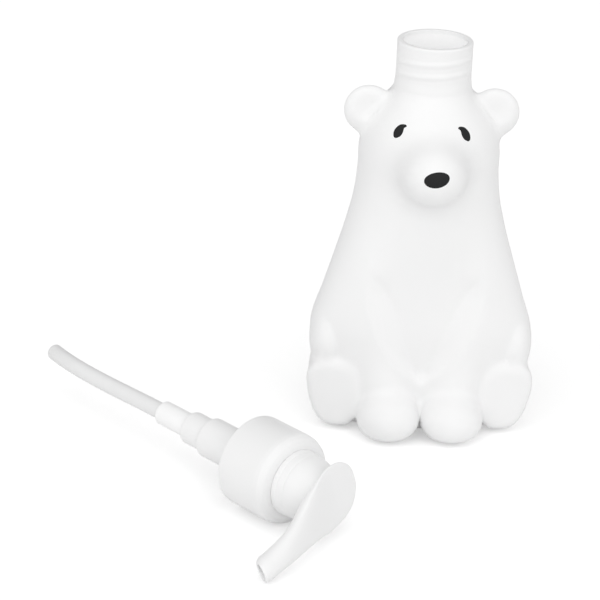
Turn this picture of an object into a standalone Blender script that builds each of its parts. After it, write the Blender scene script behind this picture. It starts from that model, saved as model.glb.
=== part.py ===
"""Bear-shaped shampoo bottle, open, with its lotion pump taken off and laid beside it.

The bear stands on z = 0 and faces -Y. The pump lies on the side of its closure and on the
tip of its nozzle. Its pieces hang on an empty whose local Z axis is the pump's own axis,
from the dip tube towards the head, with local z = 0 at the closure's open rim.
"""

import math

import bmesh
import bpy
import numpy as np

# Gaps and small common sizes, in metres
TOUCH_GAP = 0.0003
MERGE_DISTANCE = 0.00002
OVERRUN = 0.004

# Where the bottle and the pump stand, so that the set is centred on the origin
BOTTLE_X = 0.0482
BOTTLE_Y = 0.0532
PUMP_FROM_BOTTLE_X = -0.0607
PUMP_FROM_BOTTLE_Y = -0.0788
PUMP_HEADING = math.radians(-47.8)

# Bear body
SHOULDER_HEIGHT = 0.1245
HALF_WIDTH = 0.0405
HALF_DEPTH = 0.0300
WALL = 0.0012
LEAST_WALL = 0.0009
BASE_ROUNDING = 0.0030
SECTION_POWER = 2.15
PUSH_UP_HALF_WIDTH = 0.0210
PUSH_UP_HALF_DEPTH = 0.0145
PUSH_UP_DEPTH = 0.0015

# Height, half width, place of the widest line, and depth in front of it and behind it,
# as shares of the body's three sizes
BODY_SHARES = (
    (0.000, 0.800, -0.20, 0.50, 1.00),
    (0.064, 0.870, -0.22, 0.53, 1.12),
    (0.145, 0.925, -0.25, 0.56, 1.20),
    (0.225, 0.980, -0.28, 0.58, 1.27),
    (0.297, 0.995, -0.30, 0.60, 1.31),
    (0.402, 0.900, -0.28, 0.62, 1.27),
    (0.498, 0.808, -0.22, 0.65, 1.16),
    (0.594, 0.718, -0.14, 0.69, 1.03),
    (0.683, 0.652, -0.06, 0.73, 0.91),
    (0.763, 0.625, -0.01, 0.77, 0.85),
    (0.835, 0.620, 0.00, 0.79, 0.83),
    (0.892, 0.583, 0.00, 0.76, 0.79),
    (0.940, 0.504, 0.00, 0.665, 0.68),
    (0.980, 0.395, 0.00, 0.53, 0.53),
    (1.012, 0.272, 0.00, 0.367, 0.367),
)

# Muzzle, paws, arms and hind legs: places are shares of half width, half depth and height
MUZZLE_PLACE_SHARES = (0.0, -0.917, 0.819)
MUZZLE_RADII = (0.0113, 0.0116, 0.0108)
MUZZLE_BLEND = 0.0070
PAW_PLACE_SHARES = (0.284, -0.917, 0.064)
PAW_RADII = (0.0114, 0.0102, 0.0088)
PAW_BLEND = 0.0042
SHOULDER_PLACE_SHARES = (0.500, -0.430, 0.520)
SHOULDER_RADIUS = 0.0055
WRIST_PLACE_SHARES = (0.309, -0.600, 0.112)
WRIST_RADIUS = 0.0100
ARM_BLEND = 0.0030
HIND_PLACE_SHARES = (0.775, -0.740, 0.112)
HIND_HALF_WIDTH = 0.0096
HIND_HALF_HEIGHT = 0.0132
HIND_LENGTH = 0.0260
HIND_POWER = 2.6
HIND_SPREAD = math.tan(math.radians(7.0))
HIND_TURN_OUT = math.tan(math.radians(8.0))
HIND_SLANT = 0.10
HIND_TAPER = 0.14
HIND_EDGE = 0.0030
HIND_BLEND = 0.0020

# Sunk belly panel between the arms, a V that narrows towards the paws
PANEL_FOOT_SHARE = 0.157
PANEL_TOP_SHARE = 0.508
PANEL_FOOT_HALF_WIDTH = 0.0005
PANEL_TOP_HALF_WIDTH = 0.0210
PANEL_EDGE = 0.0040
PANEL_FADE = 0.0120
PANEL_DEPTH = 0.0013

# Ears: dished discs that face forward
EAR_PLACE_SHARES = (0.551, -0.067, 0.940)
EAR_RADIUS = 0.0089
EAR_HALF_THICKNESS = 0.0038
EAR_STEPS = 28
EAR_RADIUS_SHARES = (0.0, 0.40, 0.63, 0.77, 0.90, 1.0, 1.0, 0.90, 0.62, 0.0)
EAR_THICKNESS_SHARES = (0.10, 0.16, 0.50, 0.80, 0.74, 0.25, -0.25, -0.74, -0.95, -1.0)

# Neck finish
NECK_HEIGHT = 0.0183
NECK_RADIUS = 0.0134
NECK_BORE_RADIUS = 0.0114
NECK_THREAD_RADIUS = 0.0138
NECK_BLEND = 0.0050
NECK_ROOT_SHARE = 0.90
RIM_ROUNDING = 0.0005

# How finely the bear's skin is sampled: columns crowd towards the face
SKIN_COLUMNS = 56
FACE_CROWDING = 0.30
SKIN_REACH = 0.075
SKIN_STEPS = 150
SKIN_HALVINGS = 24
LOW_CENTRE_SHARE = 0.075
SIDE_FOOT_SHARE = 0.215
SIDE_TOP_SHARE = 0.560
HIGH_CENTRE_SHARE = 0.805
BASE_SHARES = (0.45, 0.85, 1.15)
LOW_ANGLES = (-19.0, -15.0, -10.0, -5.0, 0.0, 5.0, 10.0, 15.0, 20.0, 25.0)
SIDE_ROWS = 13
HEAD_ANGLES = (-42.0, 60.0)
HEAD_ROWS = 22
SLOPE_STEP = 0.0001
EVEN_ROUNDS = 6
SETTLE_ROUNDS = 2
HOLD_ROUNDS = 4

# Printed eyes and nose
INK_GAP = 0.0002
INK_THICKNESS = 0.0003
INK_POINTS = 20
INK_RING_SHARE = 0.5
EYE_X_SHARE = 0.286
EYE_SHIFT = -0.0009
EYE_HEIGHT_SHARE = 0.921
EYE_LENGTH = 0.0050
EYE_WIDTH = 0.0026
EYE_LEAN = math.radians(58.0)
NOSE_HEIGHT_SHARE = 0.837
NOSE_WIDTH = 0.0090
NOSE_HEIGHT = 0.0062

# Closure
CLOSURE_RADIUS = 0.0160
CLOSURE_HEIGHT = 0.0216
CLOSURE_TOP = 0.0016
CLOSURE_ROUNDING = 0.0046
CLOSURE_THREAD_CLEARANCE = 0.0006
CLOSURE_LIP = 0.0004
CLOSURE_STEPS = 48
ROUNDING_STEPS = 6

# Chaplet, housing flange and gasket, stacked under the closure's top
FLANGE_CLEARANCE = 0.0008
CHAPLET_FLANGE = 0.0016
CHAPLET_COLLAR_RADIUS = 0.0083
CHAPLET_COLLAR_RISE = 0.0060
CHAPLET_PLUG_DEPTH = 0.0075
HOUSING_FLANGE = 0.0014
GASKET_THICKNESS = 0.0012
SMALL_STEPS = 32

# Housing, outside and in
HOUSING_RADIUS = 0.0072
HOUSING_WALL = 0.0009
HOUSING_DEPTH = 0.0216
SPRING_CUP_RADIUS = 0.0059
SPRING_CUP_LENGTH = 0.0100
SOCKET_RADIUS = 0.00435
SOCKET_LENGTH = 0.0153
STEP_CHAMFER = 0.0006
CUP_FLOOR = 0.0012

# Check ball and its chamber
BALL_RADIUS = 0.0020
BALL_SIDE_CLEARANCE = 0.0005
BALL_SEAT_GAP = 0.00025
BALL_PORT_RADIUS = 0.0015
SEAT_HEIGHT = 0.0014
BALL_CHAMBER = 0.0036
BALL_LIP_RADIUS = 0.00175
PORT_LENGTH = 0.0016

# Dip tube
TUBE_RADIUS = 0.0030
TUBE_BORE_RADIUS = 0.0022
TUBE_REACH = 0.0650
TUBE_LEAN = math.radians(-6.0)
TUBE_TURN = math.radians(15.0)
TUBE_POINTS = 14
TUBE_SIDES = 4
BORE_SIDES = 3

# Piston, stem, plug and spring, as they lie with the head locked down
PISTON_CLEARANCE = 0.00015
PISTON_LENGTH = 0.0088
PISTON_WAIST = 0.0006
PISTON_LIP = 0.0010
PISTON_WEB = 0.0018
STEM_RADIUS = 0.0036
STEM_BORE_RADIUS = 0.0024
PLUG_HEAD_RADIUS = 0.0043
PLUG_HEAD = 0.0014
PLUG_LENGTH = 0.0170
SPRING_RADIUS = 0.0040
SPRING_WIRE_RADIUS = 0.0003
SPRING_TURNS = 6
SPRING_POINTS = 10
WIRE_SIDES = 1

# Pump head
SKIRT_RADIUS = 0.0117
SKIRT_HEIGHT = 0.0145
SKIRT_WALL = 0.0018
SKIRT_ROOF = 0.0043
BOSS_RADIUS = 0.0052
SKIRT_RADIUS_SHARES = (0.60, 0.82, 0.93, 0.98, 1.0)
SKIRT_HEIGHT_SHARES = (1.0, 0.70, 0.47, 0.23, 0.054)
PAD_RADIUS = 0.0118
NOZZLE_REACH = 0.0373
NOZZLE_TIP_HALF_WIDTH = 0.0036
PAD_TOP = 0.0161
NOZZLE_RISE = 0.0090
PAD_THICKNESS = 0.0027
NOZZLE_BORE_RADIUS = 0.0015
NOZZLE_MOUTH_RADIUS = 0.0024
NOZZLE_MOUTH_DEPTH = 0.0045
CHANNEL_KNEE_ROW = 10
HEAD_COLUMNS = 24
NOZZLE_ROUND_SHARE = 0.600
PAD_TOP_POWER = 0.45
PAD_MIDDLE_SHARE = 0.72
NOZZLE_MIDDLE_SHARE = 0.50

# Along the head, from its round back to the tip: place, half width, top and underside.
# Places are shares of the reach, widths of the pad's radius, heights of the nozzle's rise.
# The channel bends inside the row that its knee names.
HEAD_SHARES = (
    (-0.345, 0.18, -0.13, -0.32),
    (-0.325, 0.44, -0.09, -0.36),
    (-0.280, 0.68, -0.05, -0.37),
    (-0.215, 0.87, -0.02, -0.35),
    (-0.140, 0.975, 0.00, -0.32),
    (-0.055, 1.010, 0.03, -0.28),
    (0.040, 0.985, 0.12, -0.24),
    (0.130, 0.910, 0.24, -0.22),
    (0.220, 0.815, 0.37, -0.28),
    (0.310, 0.715, 0.51, -0.26),
    (0.400, 0.625, 0.64, -0.13),
    (0.500, 0.545, 0.77, 0.03),
    (0.600, 0.480, 0.88, 0.12),
    (0.720, 0.420, 0.98, 0.16),
    (0.850, 0.365, 1.05, 0.20),
    (0.965, 0.325, 1.06, 0.27),
    (1.000, 0.270, 1.00, 0.36),
)

# Colours and finishes
WHITE = (0.86, 0.86, 0.86)
NATURAL = (0.78, 0.79, 0.79)
NATURAL_ALPHA = 0.75
BLACK = (0.02, 0.02, 0.022)
FOAM = (0.80, 0.80, 0.80)
STEEL = (0.62, 0.62, 0.64)
GLOSSY = 0.25
SATIN = 0.45
DULL = 0.8


def clear_scene():
    """Empties the scene, so that the script gives the same objects each time."""
    for obj in list(bpy.data.objects):
        bpy.data.objects.remove(obj, do_unlink=True)


def new_collection(name):
    """Adds a collection to the scene."""
    collection = bpy.data.collections.new(name)
    bpy.context.scene.collection.children.link(collection)
    return collection


def plastic(name, colour, roughness, alpha=1.0):
    """Makes a plain moulded plastic."""
    material = bpy.data.materials.new(name)
    material.use_nodes = True
    shader = material.node_tree.nodes["Principled BSDF"]
    shader.inputs["Base Color"].default_value = (*colour, 1.0)
    shader.inputs["Roughness"].default_value = roughness
    shader.inputs["Alpha"].default_value = alpha
    return material


def steel(name, colour, roughness):
    """Makes a bare metal."""
    material = plastic(name, colour, roughness)
    material.node_tree.nodes["Principled BSDF"].inputs["Metallic"].default_value = 1.0
    return material


def add_object(name, mesh, collection, material=None, parent=None):
    """Links a mesh as an object, with its material and its parent."""
    obj = bpy.data.objects.new(name, mesh)
    collection.objects.link(obj)
    obj.parent = parent
    if material:
        mesh.materials.append(material)
    return obj


def grid_mesh(name, rows, start=None, end=None, mirrored=False):
    """Skins closed rings laid one after another, with a point to close each end.

    A mirrored skin is split into triangles that lie the other way on its second half."""
    rows = np.asarray(rows, dtype=float)
    count, columns = rows.shape[0], rows.shape[1]
    points = [tuple(p) for p in rows.reshape(-1, 3)]
    faces = []
    for i in range(count - 1):
        for j in range(columns):
            k = (j + 1) % columns
            a, b, c, d = (i * columns + j, i * columns + k, (i + 1) * columns + k, (i + 1) * columns + j)
            if not mirrored:
                faces.append((a, b, c, d))
            elif j < columns // 2:
                faces += [(a, b, c), (a, c, d)]
            else:
                faces += [(a, b, d), (b, c, d)]
    for point, row, flip in ((start, 0, False), (end, count - 1, True)):
        if point is None:
            continue
        points.append(tuple(point))
        tip = len(points) - 1
        for j in range(columns):
            pair = (row * columns + j, row * columns + (j + 1) % columns)
            faces.append((tip, pair[0], pair[1]) if flip else (tip, pair[1], pair[0]))
    mesh = bpy.data.meshes.new(name)
    mesh.from_pydata(points, [], faces)
    mesh.update()
    return mesh


def turned(name, profile, steps, collection, material=None, parent=None, closed=True):
    """Turns a profile of radius and height about local Z with a Screw modifier."""
    points = [(radius, 0.0, height) for radius, height in profile]
    edges = [(i, i + 1) for i in range(len(points) - 1)]
    if closed:
        edges.append((len(points) - 1, 0))
    mesh = bpy.data.meshes.new(name)
    mesh.from_pydata(points, edges, [])
    obj = add_object(name, mesh, collection, material, parent)
    screw = obj.modifiers.new("turn", "SCREW")
    screw.axis = "Z"
    screw.angle = math.tau
    screw.steps = steps
    screw.render_steps = steps
    screw.use_merge_vertices = True
    screw.merge_threshold = MERGE_DISTANCE
    screw.use_smooth_shade = True
    return obj


def combine(obj, other, operation):
    """Adds or cuts another object with a Boolean modifier."""
    boolean = obj.modifiers.new(other.name, "BOOLEAN")
    boolean.operation = operation
    boolean.solver = "EXACT"
    boolean.object = other


def hide_cutter(obj):
    """Marks an object as a cutter or as a shape that another object takes in."""
    obj.hide_render = True
    obj.display_type = "WIRE"
    return obj


def tube_mesh(name, points, radius, sides, collection):
    """Sweeps a round section along a path, as a mesh with its caps welded."""
    curve = bpy.data.curves.new(name, "CURVE")
    curve.dimensions = "3D"
    curve.bevel_depth = radius
    curve.bevel_resolution = sides
    curve.use_fill_caps = True
    spline = curve.splines.new("POLY")
    spline.points.add(len(points) - 1)
    for spot, point in zip(spline.points, points):
        spot.co = (*point, 1.0)
    swept = bpy.data.objects.new(name, curve)
    collection.objects.link(swept)
    bpy.context.view_layer.update()
    shape = swept.evaluated_get(bpy.context.evaluated_depsgraph_get())
    mesh = bpy.data.meshes.new_from_object(shape)
    bpy.data.objects.remove(swept, do_unlink=True)
    work = bmesh.new()
    work.from_mesh(mesh)
    bmesh.ops.remove_doubles(work, verts=work.verts, dist=MERGE_DISTANCE)
    bmesh.ops.recalc_face_normals(work, faces=work.faces)
    work.to_mesh(mesh)
    work.free()
    return mesh


def smooth_table(table, place):
    """Reads columns of a table at given places of its first column, with an even slope."""
    table = np.asarray(table)
    knots = table[:, 0]
    slopes = np.gradient(table[:, 1:], knots, axis=0)
    place = np.clip(place, knots[0], knots[-1])
    i = np.clip(np.searchsorted(knots, place) - 1, 0, len(knots) - 2)
    width = knots[i + 1] - knots[i]
    t = ((place - knots[i]) / width)[..., None]
    span = width[..., None]
    low, high = table[i, 1:], table[i + 1, 1:]
    value = low * (2 * t**3 - 3 * t**2 + 1) + high * (3 * t**2 - 2 * t**3)
    return value + span * (slopes[i] * (t**3 - 2 * t**2 + t) + slopes[i + 1] * (t**3 - t**2))


def fillet_join(a, b, blend):
    """Joins two distance fields with a fillet."""
    h = np.clip(0.5 + 0.5 * (b - a) / blend, 0.0, 1.0)
    return b * (1 - h) + a * h - blend * h * (1 - h)


def fillet_cut(a, b, blend):
    """Keeps what lies inside both distance fields, with a rounded edge."""
    return -fillet_join(-a, -b, blend)


def body_place(shares):
    """Turns shares of the body's sizes into a place."""
    return np.array(shares) * (HALF_WIDTH, HALF_DEPTH, SHOULDER_HEIGHT)


def lump_field(points, centre, radii):
    """Gives the distance to an ellipsoid, close to its surface."""
    radii = np.array(radii)
    near = np.linalg.norm((points - centre) / radii, axis=-1)
    steep = np.linalg.norm((points - centre) / radii**2, axis=-1)
    return near * (near - 1.0) / np.maximum(steep, 1.0)


def limb_field(points, start, end, start_radius, end_radius):
    """Gives the distance to a limb that tapers between two round ends."""
    along = end - start
    share = np.clip(((points - start) @ along) / (along @ along), 0.0, 1.0)
    nearest = start + share[..., None] * along
    return np.linalg.norm(points - nearest, axis=-1) - (start_radius + share * (end_radius - start_radius))


def core_field(points):
    """Gives the distance to the trunk and head, whose sections follow the table."""
    shares = smooth_table(BODY_SHARES, points[..., 2] / SHOULDER_HEIGHT)
    half_width, widest, front, back = np.moveaxis(shares, -1, 0)
    across = points[..., 1] - widest * HALF_DEPTH
    depth = np.where(across < 0, front, back) * HALF_DEPTH
    width = half_width * HALF_WIDTH
    sides = np.abs(points[..., 0] / width) ** SECTION_POWER + np.abs(across / depth) ** SECTION_POWER
    return (sides ** (1 / SECTION_POWER) - 1.0) * np.minimum(width, depth)


def hind_leg_field(points):
    """Gives the distance to a hind leg that points forward and ends in a flat sole."""
    centre = body_place(HIND_PLACE_SHARES)
    across = points - centre
    across[..., 0] += HIND_SPREAD * across[..., 1] - HIND_SLANT * across[..., 2]
    rise = across[..., 2] / HIND_HALF_HEIGHT
    width = HIND_HALF_WIDTH * (1 + HIND_TAPER * np.clip(rise, -1.0, 1.0))
    ring = np.abs(across[..., 0] / width) ** HIND_POWER + np.abs(rise) ** HIND_POWER
    side = (ring ** (1 / HIND_POWER) - 1.0) * HIND_HALF_WIDTH
    sole = -across[..., 1] + HIND_TURN_OUT * across[..., 0]
    heel = across[..., 1] - HIND_LENGTH
    return fillet_cut(side, np.maximum(sole, heel), HIND_EDGE)


def panel_depth(points):
    """Gives how far the belly panel is sunk at each point."""
    share = points[..., 2] / SHOULDER_HEIGHT
    run = (share - PANEL_FOOT_SHARE) / (PANEL_TOP_SHARE - PANEL_FOOT_SHARE)
    half_width = PANEL_FOOT_HALF_WIDTH + run * (PANEL_TOP_HALF_WIDTH - PANEL_FOOT_HALF_WIDTH)
    inside = np.clip((half_width - points[..., 0]) / PANEL_EDGE, 0.0, 1.0)
    fade = np.clip((PANEL_TOP_SHARE * SHOULDER_HEIGHT - points[..., 2]) / PANEL_FADE, 0.0, 1.0)
    shape = inside**2 * (3 - 2 * inside) * fade**2 * (3 - 2 * fade)
    return np.where(points[..., 1] < 0, PANEL_DEPTH * shape, 0.0)


def mirrored(points):
    """Folds points onto the bear's left half."""
    points = points.copy()
    points[..., 0] = np.abs(points[..., 0])
    return points


def finish_field(points, field):
    """Adds the muzzle and the neck to a field, and cuts the base with its push-up."""
    field = fillet_join(field, lump_field(points, body_place(MUZZLE_PLACE_SHARES), MUZZLE_RADII), MUZZLE_BLEND)
    height = points[..., 2]
    neck = np.hypot(points[..., 0], points[..., 1]) - NECK_RADIUS
    neck = np.maximum(neck, SHOULDER_HEIGHT * NECK_ROOT_SHARE - height)
    field = fillet_join(field, neck, NECK_BLEND)
    field = fillet_cut(field, -height, BASE_ROUNDING)
    push_up = lump_field(points, np.zeros(3), (PUSH_UP_HALF_WIDTH, PUSH_UP_HALF_DEPTH, PUSH_UP_DEPTH))
    return fillet_cut(field, -push_up, PUSH_UP_DEPTH)


def bear_field(points):
    """Gives roughly the distance to the bear's outer skin, negative inside."""
    points = mirrored(points)
    shoulder, wrist = body_place(SHOULDER_PLACE_SHARES), body_place(WRIST_PLACE_SHARES)
    arm = limb_field(points, shoulder, wrist, SHOULDER_RADIUS, WRIST_RADIUS)
    field = fillet_join(core_field(points), arm, ARM_BLEND) + panel_depth(points)
    field = fillet_join(field, hind_leg_field(points), HIND_BLEND)
    field = fillet_join(field, lump_field(points, body_place(PAW_PLACE_SHARES), PAW_RADII), PAW_BLEND)
    return finish_field(points, field)


def hollow_field(points):
    """Gives roughly the distance to the hollow, a wall inside the trunk, head and hind legs."""
    points = mirrored(points)
    field = core_field(points) + panel_depth(points)
    field = fillet_join(field, hind_leg_field(points), HIND_BLEND)
    return finish_field(points, field) + WALL


def normals_of(field, points):
    """Gives the outward direction of a field at points."""
    slopes = []
    for axis in range(3):
        step = np.zeros(3)
        step[axis] = SLOPE_STEP
        slopes.append(field(points + step) - field(points - step))
    normals = np.stack(slopes, axis=-1)
    return normals / np.linalg.norm(normals, axis=-1, keepdims=True)


def last_hits(field, origins, directions):
    """Finds where rays leave a field's inside for the last time, by steps and then by halving."""
    reach = np.linspace(SKIN_REACH, 0.0, SKIN_STEPS)
    samples = origins[..., None, :] + reach[:, None] * directions[..., None, :]
    first = np.argmax(field(samples) < 0, axis=-1)
    inner = reach[first]
    outer = reach[np.maximum(first - 1, 0)]
    for _ in range(SKIN_HALVINGS):
        middle = (inner + outer) / 2
        outside = field(origins + middle[..., None] * directions) > 0
        outer = np.where(outside, middle, outer)
        inner = np.where(outside, inner, middle)
    return origins + inner[..., None] * directions


def even_out(field, rows):
    """Spreads the samples evenly over a field's skin, with the first and last row held."""
    for _ in range(EVEN_ROUNDS):
        beside = np.roll(rows, 1, axis=1)[1:-1] + np.roll(rows, -1, axis=1)[1:-1]
        inner = (beside + rows[:-2] + rows[2:]) / 4
        for _ in range(SETTLE_ROUNDS):
            inner = inner - field(inner)[..., None] * normals_of(field, inner)
        rows = np.concatenate([rows[:1], inner, rows[-1:]])
    return rows


def base_rows(field, turn):
    """Samples the base straight down, on ovals that follow the push-up."""
    shares = np.array(BASE_SHARES)[:, None]
    origins = np.empty((len(BASE_SHARES), len(turn), 3))
    origins[..., 0] = shares * PUSH_UP_HALF_WIDTH * np.cos(turn)
    origins[..., 1] = shares * PUSH_UP_HALF_DEPTH * np.sin(turn)
    origins[..., 2] = SHOULDER_HEIGHT * LOW_CENTRE_SHARE
    return last_hits(field, origins, np.broadcast_to((0.0, 0.0, -1.0), origins.shape))


def skin_rows(field):
    """Samples a field's skin from the base to the neck's root along a fan of rays."""
    low, high = LOW_CENTRE_SHARE * SHOULDER_HEIGHT, HIGH_CENTRE_SHARE * SHOULDER_HEIGHT
    rays = [(low, math.radians(angle)) for angle in LOW_ANGLES]
    sides = np.linspace(SIDE_FOOT_SHARE, SIDE_TOP_SHARE, SIDE_ROWS)
    rays += [(share * SHOULDER_HEIGHT, 0.0) for share in sides]
    rays += [(high, math.radians(angle)) for angle in np.linspace(*HEAD_ANGLES, HEAD_ROWS)]
    heights, angles = np.array(rays).T
    turn = np.linspace(0.0, math.tau, SKIN_COLUMNS, endpoint=False)
    turn = turn - math.pi / 2 - FACE_CROWDING * np.sin(turn)
    directions = np.empty((len(rays), SKIN_COLUMNS, 3))
    directions[..., 0] = np.cos(angles)[:, None] * np.cos(turn)
    directions[..., 1] = np.cos(angles)[:, None] * np.sin(turn)
    directions[..., 2] = np.sin(angles)[:, None]
    origins = np.zeros_like(directions)
    origins[..., 2] = heights[:, None]
    base = base_rows(field, turn)
    side = even_out(field, np.concatenate([base[-1:], last_hits(field, origins, directions)]))
    return np.concatenate([base[:-1], side]), turn


def circle_row(radius, height, turn):
    """Gives a level ring about the neck's axis."""
    return np.stack([radius * np.cos(turn), radius * np.sin(turn), np.full_like(turn, height)], axis=-1)


def neck_top():
    """Gives the height of the neck's top land."""
    return SHOULDER_HEIGHT + NECK_HEIGHT


def base_middle(field):
    """Finds the middle of the base, inside the push-up."""
    start = np.array([[0.0, 0.0, SHOULDER_HEIGHT * LOW_CENTRE_SHARE]])
    return last_hits(field, start, np.array([[0.0, 0.0, -1.0]]))[0]


def outer_skin(name):
    """Closes the sampled skin with the outside of the neck, as a solid bear."""
    rows, turn = skin_rows(bear_field)
    root = rows[-1][..., 2].max() + RIM_ROUNDING
    collar = [
        circle_row(NECK_RADIUS, root, turn),
        circle_row(NECK_RADIUS, neck_top() - RIM_ROUNDING, turn),
        circle_row(NECK_RADIUS - RIM_ROUNDING, neck_top(), turn),
    ]
    rows = np.concatenate([rows, collar])
    return grid_mesh(name, rows, base_middle(bear_field), (0.0, 0.0, neck_top()), mirrored=True)


def hold_in(rows):
    """Pushes the coarse hollow in where the middle of an edge or a diagonal nears the skin."""
    for _ in range(HOLD_ROUNDS):
        for down, along in ((0, 1), (1, 0), (1, 1), (1, -1)):
            last = len(rows) - down
            middle = (rows[:last] + np.roll(rows, -along, axis=1)[down:]) / 2
            depth = np.maximum(bear_field(middle) + LEAST_WALL, 0.0)
            push = depth[..., None] * normals_of(bear_field, middle)
            rows[:last] -= push
            rows[down:] -= np.roll(push, along, axis=1)
    return rows


def inner_skin(name):
    """Takes every second row and column of the hollow's own skin, and adds the bore."""
    rows, turn = skin_rows(hollow_field)
    sparse = hold_in(rows[:-2:2, ::2])
    turn = turn[::2]
    bore = [
        circle_row(NECK_BORE_RADIUS, SHOULDER_HEIGHT, turn),
        circle_row(NECK_BORE_RADIUS, neck_top() + OVERRUN, turn),
    ]
    rows = np.concatenate([sparse, bore])
    top = (0.0, 0.0, neck_top() + OVERRUN)
    return grid_mesh(name, rows, base_middle(hollow_field), top, mirrored=True)


def make_ear(name, side, cutters, parent):
    """Turns one dished ear about an axis that points forward."""
    profile = [
        (r * EAR_RADIUS, t * EAR_HALF_THICKNESS) for r, t in zip(EAR_RADIUS_SHARES, EAR_THICKNESS_SHARES)
    ]
    ear = turned(name, profile, EAR_STEPS, cutters, parent=parent, closed=False)
    ear.location = body_place(EAR_PLACE_SHARES) * (side, 1, 1)
    ear.rotation_euler = (math.pi / 2, 0.0, 0.0)
    return hide_cutter(ear)


def make_bottle(parts, cutters, parent, material):
    """Makes the bear shell: the outer solid, both ears, less the hollow and the bore."""
    bottle = add_object("bear_bottle", outer_skin("bear_bottle"), parts, material, parent)
    for name, side in (("ear_left", -1), ("ear_right", 1)):
        combine(bottle, make_ear(name, side, cutters, parent), "UNION")
    hollow = add_object("bottle_hollow", inner_skin("bottle_hollow"), cutters, parent=parent)
    combine(bottle, hide_cutter(hollow), "DIFFERENCE")


def make_print(name, outline, parts, parent, material):
    """Lays a thin pad of ink on the face, inside an outline of x and height."""
    high, low = INK_GAP + INK_THICKNESS, INK_GAP
    middle = outline.mean(axis=0)
    spots = (middle[None, :], middle + INK_RING_SHARE * (outline - middle), outline)
    hits = []
    for spot in spots:
        origins = np.stack([spot[:, 0], np.zeros(len(spot)), spot[:, 1]], axis=-1)
        directions = np.broadcast_to((0.0, -1.0, 0.0), origins.shape)
        hit = last_hits(bear_field, origins, directions)
        hits.append((hit, normals_of(bear_field, hit)))
    rings = [hits[i][0] + lift * hits[i][1] for lift, i in ((high, 1), (high, 2), (low, 2), (low, 1))]
    start, end = (hits[0][0][0] + lift * hits[0][1][0] for lift in (high, low))
    return add_object(name, grid_mesh(name, rings, start, end), parts, material, parent)


def eye_outline(side):
    """Draws a leaf that leans in towards the brow, pointed at both ends."""
    half = np.linspace(0.0, math.pi, INK_POINTS // 2, endpoint=False)
    along = np.concatenate([-np.cos(half), np.cos(half)]) * EYE_LENGTH / 2
    across = np.concatenate([-np.sin(half), np.sin(half)]) * np.abs(np.cos(along / EYE_LENGTH)) * EYE_WIDTH / 2
    x = along * math.cos(EYE_LEAN) - across * math.sin(EYE_LEAN)
    z = along * math.sin(EYE_LEAN) + across * math.cos(EYE_LEAN)
    x = side * (HALF_WIDTH * EYE_X_SHARE - x) + EYE_SHIFT
    outline = np.stack([x, SHOULDER_HEIGHT * EYE_HEIGHT_SHARE + z], axis=-1)
    return outline[::-1] if side < 0 else outline


def nose_outline():
    """Draws an oval with a slightly flattened top."""
    turn = np.linspace(math.tau, 0.0, INK_POINTS, endpoint=False)
    x = np.cos(turn) * NOSE_WIDTH / 2
    z = np.sin(turn) * NOSE_HEIGHT / 2
    return np.stack([x, SHOULDER_HEIGHT * NOSE_HEIGHT_SHARE + z], axis=-1)


def arc(centre, radius, start, end, steps):
    """Gives points of a round stretch of a profile."""
    turns = np.radians(np.linspace(start, end, steps))
    return [(centre[0] + radius * math.cos(t), centre[1] + radius * math.sin(t)) for t in turns]


def closure_bore():
    """Gives the closure's inner radius, from the thread that it screws onto."""
    return NECK_THREAD_RADIUS + CLOSURE_THREAD_CLEARANCE


def ceiling():
    """Gives the height of the closure's ceiling above its open rim."""
    return CLOSURE_HEIGHT - CLOSURE_TOP


def flange_radius():
    """Gives the radius of the flanges that sit under the closure's ceiling."""
    return closure_bore() - FLANGE_CLEARANCE


def housing_top():
    """Gives the height of the housing's flange."""
    return ceiling() - CHAPLET_FLANGE - 2 * TOUCH_GAP


def make_closure(parts, parent, material):
    """Turns the smooth screw closure, with a rounded top edge and a hole for the collar."""
    hole = CHAPLET_COLLAR_RADIUS + TOUCH_GAP
    corner = (CLOSURE_RADIUS - CLOSURE_ROUNDING, CLOSURE_HEIGHT - CLOSURE_ROUNDING)
    profile = [(hole, CLOSURE_HEIGHT)]
    profile += arc(corner, CLOSURE_ROUNDING, 90.0, 0.0, ROUNDING_STEPS)
    profile += [
        (CLOSURE_RADIUS, CLOSURE_LIP),
        (CLOSURE_RADIUS - CLOSURE_LIP, 0.0),
        (closure_bore() + CLOSURE_LIP, 0.0),
        (closure_bore(), CLOSURE_LIP),
        (closure_bore(), ceiling()),
        (hole, ceiling()),
    ]
    return turned("closure", profile, CLOSURE_STEPS, parts, material, parent)


def make_chaplet(parts, parent, material):
    """Turns the collar that guides the stem and plugs the housing's mouth."""
    top = ceiling() - TOUCH_GAP
    bore = STEM_RADIUS + TOUCH_GAP
    plug = HOUSING_RADIUS - HOUSING_WALL - TOUCH_GAP
    collar = CLOSURE_HEIGHT + CHAPLET_COLLAR_RISE
    profile = [
        (bore, collar),
        (CHAPLET_COLLAR_RADIUS - CLOSURE_LIP, collar),
        (CHAPLET_COLLAR_RADIUS, collar - CLOSURE_LIP),
        (CHAPLET_COLLAR_RADIUS, top),
        (flange_radius(), top),
        (flange_radius(), top - CHAPLET_FLANGE),
        (plug, top - CHAPLET_FLANGE),
        (plug, top - CHAPLET_FLANGE - CHAPLET_PLUG_DEPTH),
        (bore, top - CHAPLET_FLANGE - CHAPLET_PLUG_DEPTH),
    ]
    return turned("chaplet", profile, SMALL_STEPS, parts, material, parent)


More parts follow.
